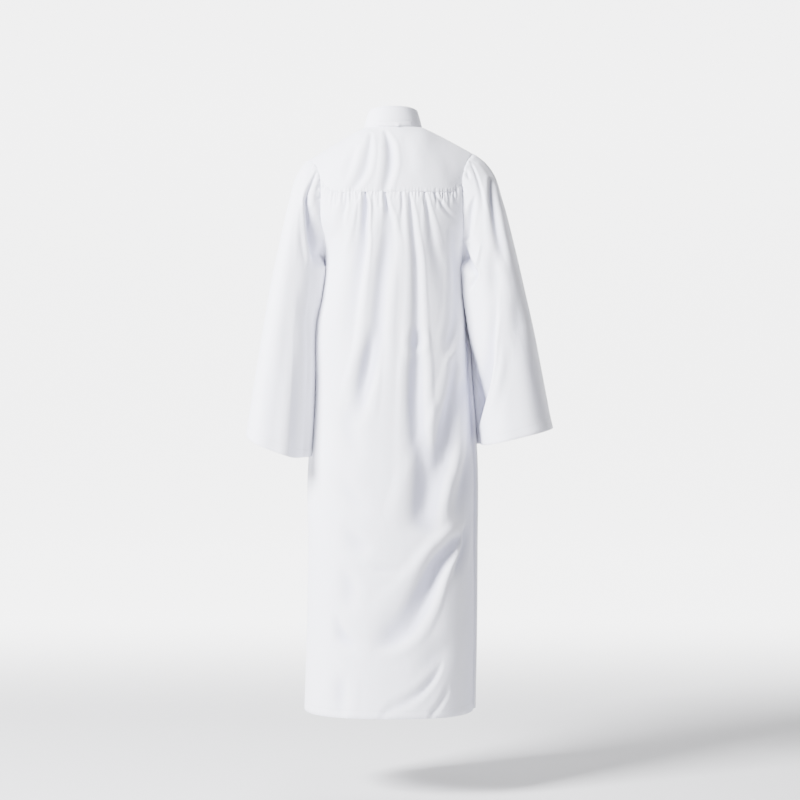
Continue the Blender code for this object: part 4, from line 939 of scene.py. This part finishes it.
def make_collar(finish):
    """The stand collar, one doubled band with a groove above the strip at the nape."""
    end = math.pi - math.asin(0.0015 / NECK_FRONT)
    profile = collar_profile()
    turn, share = np.meshgrid(np.linspace(-end, end, 221), profile[:, 0])
    out = np.repeat(profile[:, 1:], turn.shape[1], axis=1)
    waves = slow_waves(turn * NECK_RADIUS, share * COLLAR_HEIGHTS[0], 41, COLLAR_WAVES)
    waves = waves * np.sin(math.pi * share) ** 0.5
    outside = out > -COLLAR_WALL / 2
    bow = COLLAR_BOW * np.sin(math.pi * np.clip(share, 0, 1)) * outside
    groove = np.exp(-(((share - NAPE_STRIP_LEVELS[0] / COLLAR_HEIGHTS[0]) / 0.022) ** 2)) * outside
    first, last = NAPE_STRIP_TURNS
    groove = groove * smooth_step((last - turn) / 0.1) * smooth_step((turn - first) / 0.1)
    grid = collar_points(turn, share, out + waves + bow - GROOVE_DEPTH * groove)
    place = np.arange(turn.size).reshape(turn.shape)
    below = np.roll(place, -1, axis=0)
    faces = np.stack([below[:, :-1], below[:, 1:], place[:, 1:], place[:, :-1]], axis=-1).reshape(-1, 4)
    caps = [place[:, 0].tolist(), place[:, -1][::-1].tolist()]
    piece = new_piece("collar_cloth", grid, faces.tolist() + caps, finish, closed=True)
    corner = np.empty(len(piece.data.loops), np.int32)
    piece.data.loops.foreach_get("vertex_index", corner)
    fill_layers(piece, cloth_lengths(grid).reshape(-1, 2)[corner], np.zeros(turn.shape))
    stand_for("collar", piece)
    rises = [(share, COLLAR_BOW * math.sin(math.pi * share)) for share in COLLAR_STITCH_SHARES]
    lines = [collar_points(turn[0], np.full(turn.shape[1], share), rise) for share, rise in rises]
    return piece, [(line, line * (1, 1, 0)) for line in lines]


def make_nape_strip(finish):
    """The narrow doubled strip sewn along the nape over the foot of the collar."""
    first, last = NAPE_STRIP_TURNS
    levels = np.linspace(*NAPE_STRIP_LEVELS, 9) / COLLAR_HEIGHTS[0]
    turn, share = np.meshgrid(np.linspace(first, last, 90), levels)
    rows = np.linspace(0, 1, 9)[:, None]
    ends = 1 - smooth_step(np.minimum(turn - first, last - turn) / 0.05)
    lift = 0.0005 + 0.0005 * np.sin(math.pi * rows)
    lift = lift + 0.0032 * np.exp(-(((turn + 0.20) / 0.08) ** 2)) * rows**2
    grid = collar_points(turn, share, lift * (1 - 0.9 * ends))
    piece = sewn_piece("nape_strip_cloth", grid, finish, wall=NAPE_STRIP_WALL)
    stand_for("nape_strip", piece)
    normal = normals_of(grid)
    return piece, [(grid[row], normal[row]) for row in (1, 7)]


TOOTH_PITCH = 0.0016
TOOTH_SIZE = (0.0030, 0.0012, 0.0010)
TOOTH_BEVEL = 0.00030
TEETH_TOP_LEVEL = -0.0800
ZIP_TOP_DROP = 0.004
ZIP_TAPE_WIDTH = 0.030
ZIP_TAPE_WALL = 0.0007
# Half of the tape's width from its edge to its middle, and how far it stands out there, in millimetres
TAPE_SHARES = (0.5, 0.49, 0.40, 0.28, 0.16, 0.10, 0.07, 0.02)
TAPE_RISES = (-0.4, 0, 0, 0, 0, 0.1, 0.5, 0.25)


def zip_line(count):
    """Depth and height of the zip's front face down the centre, and its outward direction."""
    share = np.linspace(0, 1, 60)
    upper = upper_cloth(-1, np.full(share.shape, ZIP_EDGE), share)
    levels = np.linspace(CHEST_LEVEL, ZIP_FOOT_LEVEL - 0.012, 120)[1:]
    line = np.concatenate([upper, section(-1, np.full(levels.shape, ZIP_EDGE), levels)])[:, 1:]
    run = run_along(line)
    line = read_along(run, line, np.linspace(ZIP_TOP_DROP, run[-1], count))
    slope = unit(np.gradient(line, axis=0))
    return line, np.stack([slope[:, 1], -slope[:, 0]], axis=-1), run[-1] - ZIP_TOP_DROP


def make_zip_tape(finish):
    """The two tapes, with the bead that carries the teeth along their middle."""
    line, out, _ = zip_line(200)
    shares = np.array([*TAPE_SHARES, *(-share for share in reversed(TAPE_SHARES))])
    raised = np.array(TAPE_RISES + TAPE_RISES[::-1]) * MILLIMETRE
    x = np.repeat((shares * ZIP_TAPE_WIDTH)[None], len(line), axis=0)
    behind = 0.0021 + 2.2 * x**2 - raised[None]
    y, z = (line[:, axis, None] - out[:, axis, None] * behind for axis in (0, 1))
    piece = sewn_piece("zip_tape_woven", np.stack([x, y, z], axis=-1), finish, wall=ZIP_TAPE_WALL)
    stand_for("zip_tape", piece)
    return piece


def one_tooth():
    """Points and faces of one tooth of the coil, a small block with its edges taken off."""
    bpy.ops.object.select_all(action="DESELECT")
    bpy.ops.mesh.primitive_cube_add(size=1.0, location=(0, 0, 0))
    tooth = bpy.context.object
    tooth.scale = TOOTH_SIZE
    bpy.ops.object.transform_apply(location=False, rotation=False, scale=True)
    bpy.ops.object.mode_set(mode="EDIT")
    bpy.ops.mesh.select_all(action="SELECT")
    bpy.ops.mesh.bevel(offset=TOOTH_BEVEL, segments=1, affect="EDGES")
    bpy.ops.object.mode_set(mode="OBJECT")
    shape = np.array([tuple(v.co) for v in tooth.data.vertices])
    faces = [tuple(face.vertices) for face in tooth.data.polygons]
    bpy.data.objects.remove(tooth, do_unlink=True)
    return shape, faces


def make_zip_teeth(finish):
    """The coil's teeth, one modelled and the rest set alternately from both sides down the tape."""
    shape, sides = one_tooth()
    line, out, length = zip_line(900)
    run = np.linspace(0, length, len(line))
    first, last = (float(run[nearest_row(line[:, 1], level)]) for level in (TEETH_TOP_LEVEL, ZIP_FOOT_LEVEL))
    points, faces = [], []
    for number in range(int((last - first) / (TOOTH_PITCH / 2))):
        at = first + number * TOOTH_PITCH / 2
        y, z = read_along(run, line, at)
        y_out, z_out = read_along(run, out, at)
        x = shape[:, 0] + (0.0007 if number % 2 else -0.0007)
        away, down = shape[:, 1] * -1 - 0.0010, shape[:, 2]
        placed = [x, y + y_out * away - z_out * down, z + z_out * away + y_out * down]
        points.append(np.stack(placed, axis=-1))
        faces += [tuple(corner + len(shape) * number for corner in face) for face in sides]
    piece = new_piece("zip_teeth", np.concatenate(points), faces, finish, closed=True)
    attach(piece, "robe")


WHITE = (0.835, 0.838, 0.915)
# Painted shade: the cooler, darker colour the cloth is given in its folds, which the slubs' uneven tone also
# leans towards.
PAINTED_FOLD_SHADE_AND_SLUB_TONE = (0.650, 0.655, 0.780)
TAPE_WHITE = (0.86, 0.865, 0.88)
# White thread in a darker colour than the cloth: partly painted shade, for the small shadows along each row of
# stitches.
THREAD_WHITE_WITH_PAINTED_SHADE = (0.76, 0.77, 0.81)
NYLON_WHITE = (0.87, 0.875, 0.885)
PLATED = (0.72, 0.72, 0.73)
CLOTH_ROUGHNESS = 0.78
THREADS_PER_METRE = 2600.0
RUMPLE_SIZE = 40.0
SLUB_STRETCH = (520.0, 26.0, 1.0)
RUMPLE_STRETCH = (1.0, 0.45, 1.0)


def feed(tree, node, inputs):
    """Gives a node's inputs their values, or joins them to the sockets that feed them."""
    for name, value in inputs.items():
        if isinstance(value, bpy.types.NodeSocket):
            tree.links.new(value, node.inputs[name])
        else:
            node.inputs[name].default_value = value


def add(tree, kind, inputs, **settings):
    node = tree.nodes.new("ShaderNode" + kind)
    for name, value in settings.items():
        setattr(node, name, value)
    feed(tree, node, inputs)
    return node.outputs


def maths(tree, operation, *values):
    return add(tree, "Math", dict(enumerate(values)), operation=operation)[0]


def stretched(tree, place, amounts):
    return add(tree, "VectorMath", {0: place, 1: amounts}, operation="MULTIPLY")[0]


def between_colours(tree, share, first, second):
    """A colour between two. A Mix node takes colours in its inputs 6 and 7, and gives one as output 2."""
    return add(tree, "Mix", {0: share, 6: (*first, 1.0), 7: (*second, 1.0)}, data_type="RGBA")[2]


def shader_group(name, inputs, outputs):
    """A new shader node group with its named sockets, and their two ends inside it."""
    group = bpy.data.node_groups.new(name, "ShaderNodeTree")
    for label, kind in inputs:
        group.interface.new_socket(label, in_out="INPUT", socket_type="NodeSocket" + kind)
    for label in outputs:
        group.interface.new_socket(label, in_out="OUTPUT", socket_type="NodeSocketFloat")
    return group, group.nodes.new("NodeGroupInput").outputs, group.nodes.new("NodeGroupOutput")


def plain_weave_group():
    """Height and slub of a plain weave, from a position in metres of cloth."""
    inputs = (("Cloth", "Vector"), ("Threads per metre", "Float"))
    group, inside, outside = shader_group("plain weave", inputs, ("Height", "Slub"))
    split = add(group, "SeparateXYZ", {0: inside["Cloth"]})
    half_turn = maths(group, "MULTIPLY", inside["Threads per metre"], math.pi)
    warp, weft = (maths(group, "SINE", maths(group, "MULTIPLY", split[axis], half_turn)) for axis in (0, 1))
    over = maths(group, "ADD", maths(group, "MULTIPLY", maths(group, "MULTIPLY", warp, weft), 1.4), 0.5)
    crowns = {name: maths(group, "ABSOLUTE", wave) for name, wave in (("A", weft), ("B", warp))}
    woven = add(group, "Mix", {"Factor": over, **crowns}, clamp_factor=True)["Result"]
    place = stretched(group, inside["Cloth"], SLUB_STRETCH)
    slub = add(group, "TexNoise", {"Vector": place, "Scale": 1.0, "Detail": 2.0})["Fac"]
    height = maths(group, "ADD", woven, maths(group, "MULTIPLY", slub, 0.8))
    feed(group, outside, {"Height": height, "Slub": slub})
    return group


def soft_rumple_group():
    """Height of the small soft unevenness that pressed cloth keeps."""
    inputs = (("Cloth", "Vector"), ("Size", "Float"))
    group, inside, outside = shader_group("soft rumple", inputs, ("Height",))
    place = stretched(group, inside["Cloth"], RUMPLE_STRETCH)
    look = {"Vector": place, "Scale": inside["Size"], "Detail": 3.0, "Roughness": 0.45, "Distortion": 0.6}
    feed(group, outside, {"Height": add(group, "TexNoise", look)["Fac"]})
    return group


def new_material(name):
    made = bpy.data.materials.new(name)
    made.use_nodes = True
    return made, made.node_tree, made.node_tree.nodes["Principled BSDF"]


def cloth_finish(name, groups, cloth_colour, threads=THREADS_PER_METRE, weave_lift=0.00009, rumple_lift=0.0006):
    """Matte woven polyester: its own colour on the crowns and painted shade, cooler and darker, in its folds.
    """
    made, tree, shader = new_material(name)
    cloth = add(tree, "UVMap", {}, uv_map="cloth")[0]
    woven = add(tree, "Group", {"Cloth": cloth, "Threads per metre": threads}, node_tree=groups[0])
    rumple = add(tree, "Group", {"Cloth": cloth, "Size": RUMPLE_SIZE}, node_tree=groups[1])
    uneven = maths(tree, "MULTIPLY", maths(tree, "SUBTRACT", woven["Slub"], 0.5), 0.25)
    painted_fold_shade = add(tree, "Attribute", {}, attribute_name="painted_fold_shade")["Fac"]
    broad = add(tree, "Bump", {"Height": rumple["Height"], "Distance": rumple_lift, "Strength": 1.0})[0]
    fine = {"Height": woven["Height"], "Distance": weave_lift, "Strength": 0.6, "Normal": broad}
    feed(tree, shader, {
        # The base colour is painted shade: it turns cooler and darker with how deep in a fold a point lies,
        # and a little with the slubs' uneven tone.
        "Base Color": between_colours(tree, maths(tree, "ADD", painted_fold_shade, uneven), cloth_colour, PAINTED_FOLD_SHADE_AND_SLUB_TONE),
        "Roughness": CLOTH_ROUGHNESS,
        "Sheen Weight": 0.12,
        "Sheen Roughness": 0.4,
        "Specular IOR Level": 0.35,
        "Normal": add(tree, "Bump", fine)[0],
    })
    return made


def plain_finish(name, colour, rough, metallic=0.0, grain=0.00002, size=900.0):
    """Thread, nylon or plated metal, with a fine grain on Object coordinates."""
    made, tree, shader = new_material(name)
    place = add(tree, "TexCoord", {})["Object"]
    noise = add(tree, "TexNoise", {"Vector": place, "Scale": size})["Fac"]
    darker = [part * 0.88 for part in colour]
    feed(tree, shader, {
        "Base Color": between_colours(tree, noise, colour, darker),
        "Roughness": rough,
        "Metallic": metallic,
        "Normal": add(tree, "Bump", {"Height": noise, "Distance": grain})[0],
    })
    return made


WIDE_STITCHES = {"pitch": 0.0036, "length": 0.0028, "radius": 0.00034}
CLOSE_STITCHES = {"pitch": 0.0030, "length": 0.0023, "radius": 0.00030}


def dress():
    groups = (plain_weave_group(), soft_rumple_group())
    cloth = cloth_finish("white_polyester", groups, WHITE)
    doubled = cloth_finish("white_polyester_doubled", groups, WHITE, rumple_lift=0.0003)
    tape = cloth_finish("zip_tape_weave", groups, TAPE_WHITE, 1400.0, 0.0002, 0.0001)
    thread = plain_finish("sewing_thread", THREAD_WHITE_WITH_PAINTED_SHADE, 0.6, grain=0.00005, size=2400.0)
    nylon = plain_finish("zip_nylon", NYLON_WHITE, 0.38)
    metal = plain_finish("plated_metal", PLATED, 0.26, metallic=1.0)
    back, back_hem = make_back(cloth)
    yoke, yoke_seam = make_yoke(cloth)
    left, left_hem, left_zip = make_front(1, cloth)
    right, right_hem, right_zip = make_front(-1, cloth)
    sleeve_left, cuff_left = make_sleeve(1, cloth)
    sleeve_right, cuff_right = make_sleeve(-1, cloth)
    collar, collar_lines = make_collar(doubled)
    strip, strip_lines = make_nape_strip(doubled)
    tapes = make_zip_tape(tape)
    make_zip_teeth(nylon)
    stitching("hem_stitches", (back_hem, left_hem, right_hem), WIDE_STITCHES, thread)
    stitching("cuff_stitches", (cuff_left, cuff_right), WIDE_STITCHES, thread)
    stitching("yoke_stitches", (yoke_seam,), CLOSE_STITCHES, thread)
    stitching("collar_stitches", (*collar_lines, *strip_lines), CLOSE_STITCHES, thread)
    stitching("zip_stitches", (left_zip, right_zip), CLOSE_STITCHES, thread)
    for node in ("zip_slider", "zip_pull"):
        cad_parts[node].data.materials.clear()
        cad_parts[node].data.materials.append(metal)


LENS = 86.8
FILM_WIDTH = 36.0
LIT_MIDDLE = (0.0, 0.0, -0.65)
LAMPS = (
    ("key", (3.7, 2.9, 2.3), 1.7, 1900.0, (0.975, 0.98, 1.0)),
    ("front_fill", (2.2, 5.0, 0.8), 2.0, 30.0, (0.95, 0.97, 1.0)),
)
WORLD_COLOUR = (0.93, 0.95, 1.0, 1.0)
WORLD_STRENGTH = 0.13


def add_lamp(name, place, size, power, colour):
    """A square lamp that faces the middle of the robe."""
    lamp = bpy.data.lights.new(name, "AREA")
    lamp.shape = "SQUARE"
    lamp.size = size
    lamp.energy = power
    lamp.color = colour
    holder = bpy.data.objects.new(name, lamp)
    holder.location = place
    aim = np.array(LIT_MIDDLE) - np.array(place)
    tilt = math.atan2(math.hypot(aim[0], aim[1]), -aim[2])
    holder.rotation_euler = (tilt, 0.0, math.atan2(-aim[0], aim[1]))
    bpy.context.scene.collection.objects.link(holder)


def light_and_camera():
    world = bpy.data.worlds.new("studio")
    bpy.context.scene.world = world
    world.use_nodes = True
    feed(world.node_tree, world.node_tree.nodes["Background"], {0: WORLD_COLOUR, 1: WORLD_STRENGTH})
    for lamp in LAMPS:
        add_lamp(*lamp)
    lens = bpy.data.cameras.new("photo_view")
    lens.lens = LENS
    lens.sensor_width = FILM_WIDTH
    camera = bpy.data.objects.new("photo_view", lens)
    camera.location = (CAMERA_SIDE, CAMERA_DISTANCE, CAMERA_LEVEL)
    camera.rotation_euler = (math.pi / 2, 0.0, math.pi)
    bpy.context.scene.collection.objects.link(camera)
    bpy.context.scene.camera = camera


FLOOR_LEVEL = -1.538
FLOOR_REACH = 14.0
FLOOR_HALF_WIDTH = 20.0
WALL_TOP = 14.0
BEND_START = -7.0
BEND_RADIUS = 3.0
BEND_STEPS = 12
GLOW_FROM = -0.9
GLOW_FULL = -3.6
GLOW_STRENGTH = 4.0


def studio_floor():
    """A pale floor that runs up into a lit wall behind."""
    profile = [(FLOOR_REACH, FLOOR_LEVEL), (BEND_START, FLOOR_LEVEL)]
    for step in range(1, BEND_STEPS + 1):
        angle = step / BEND_STEPS * math.pi / 2
        rise = BEND_RADIUS * (1 - math.cos(angle))
        profile.append((BEND_START - BEND_RADIUS * math.sin(angle), FLOOR_LEVEL + rise))
    profile.append((BEND_START - BEND_RADIUS, WALL_TOP))
    points = [(x, y, z) for y, z in profile for x in (-FLOOR_HALF_WIDTH, FLOOR_HALF_WIDTH)]
    faces = [(2 * n, 2 * n + 1, 2 * n + 3, 2 * n + 2) for n in range(len(profile) - 1)]
    pale, tree, shader = new_material("studio_pale")
    place = add(tree, "TexCoord", {})["Object"]
    behind = add(tree, "SeparateXYZ", {0: place})["Y"]
    glow = {"Value": behind, "From Min": GLOW_FROM, "From Max": GLOW_FULL, "To Max": GLOW_STRENGTH}
    feed(tree, shader, {
        "Base Color": (0.62, 0.62, 0.63, 1.0),
        "Roughness": 0.9,
        "Emission Color": (1.0, 1.0, 1.0, 1.0),
        "Emission Strength": add(tree, "MapRange", glow, interpolation_type="SMOOTHSTEP")["Result"],
    })
    new_piece("studio_floor", points, faces, pale)


dress()
light_and_camera()
studio_floor()
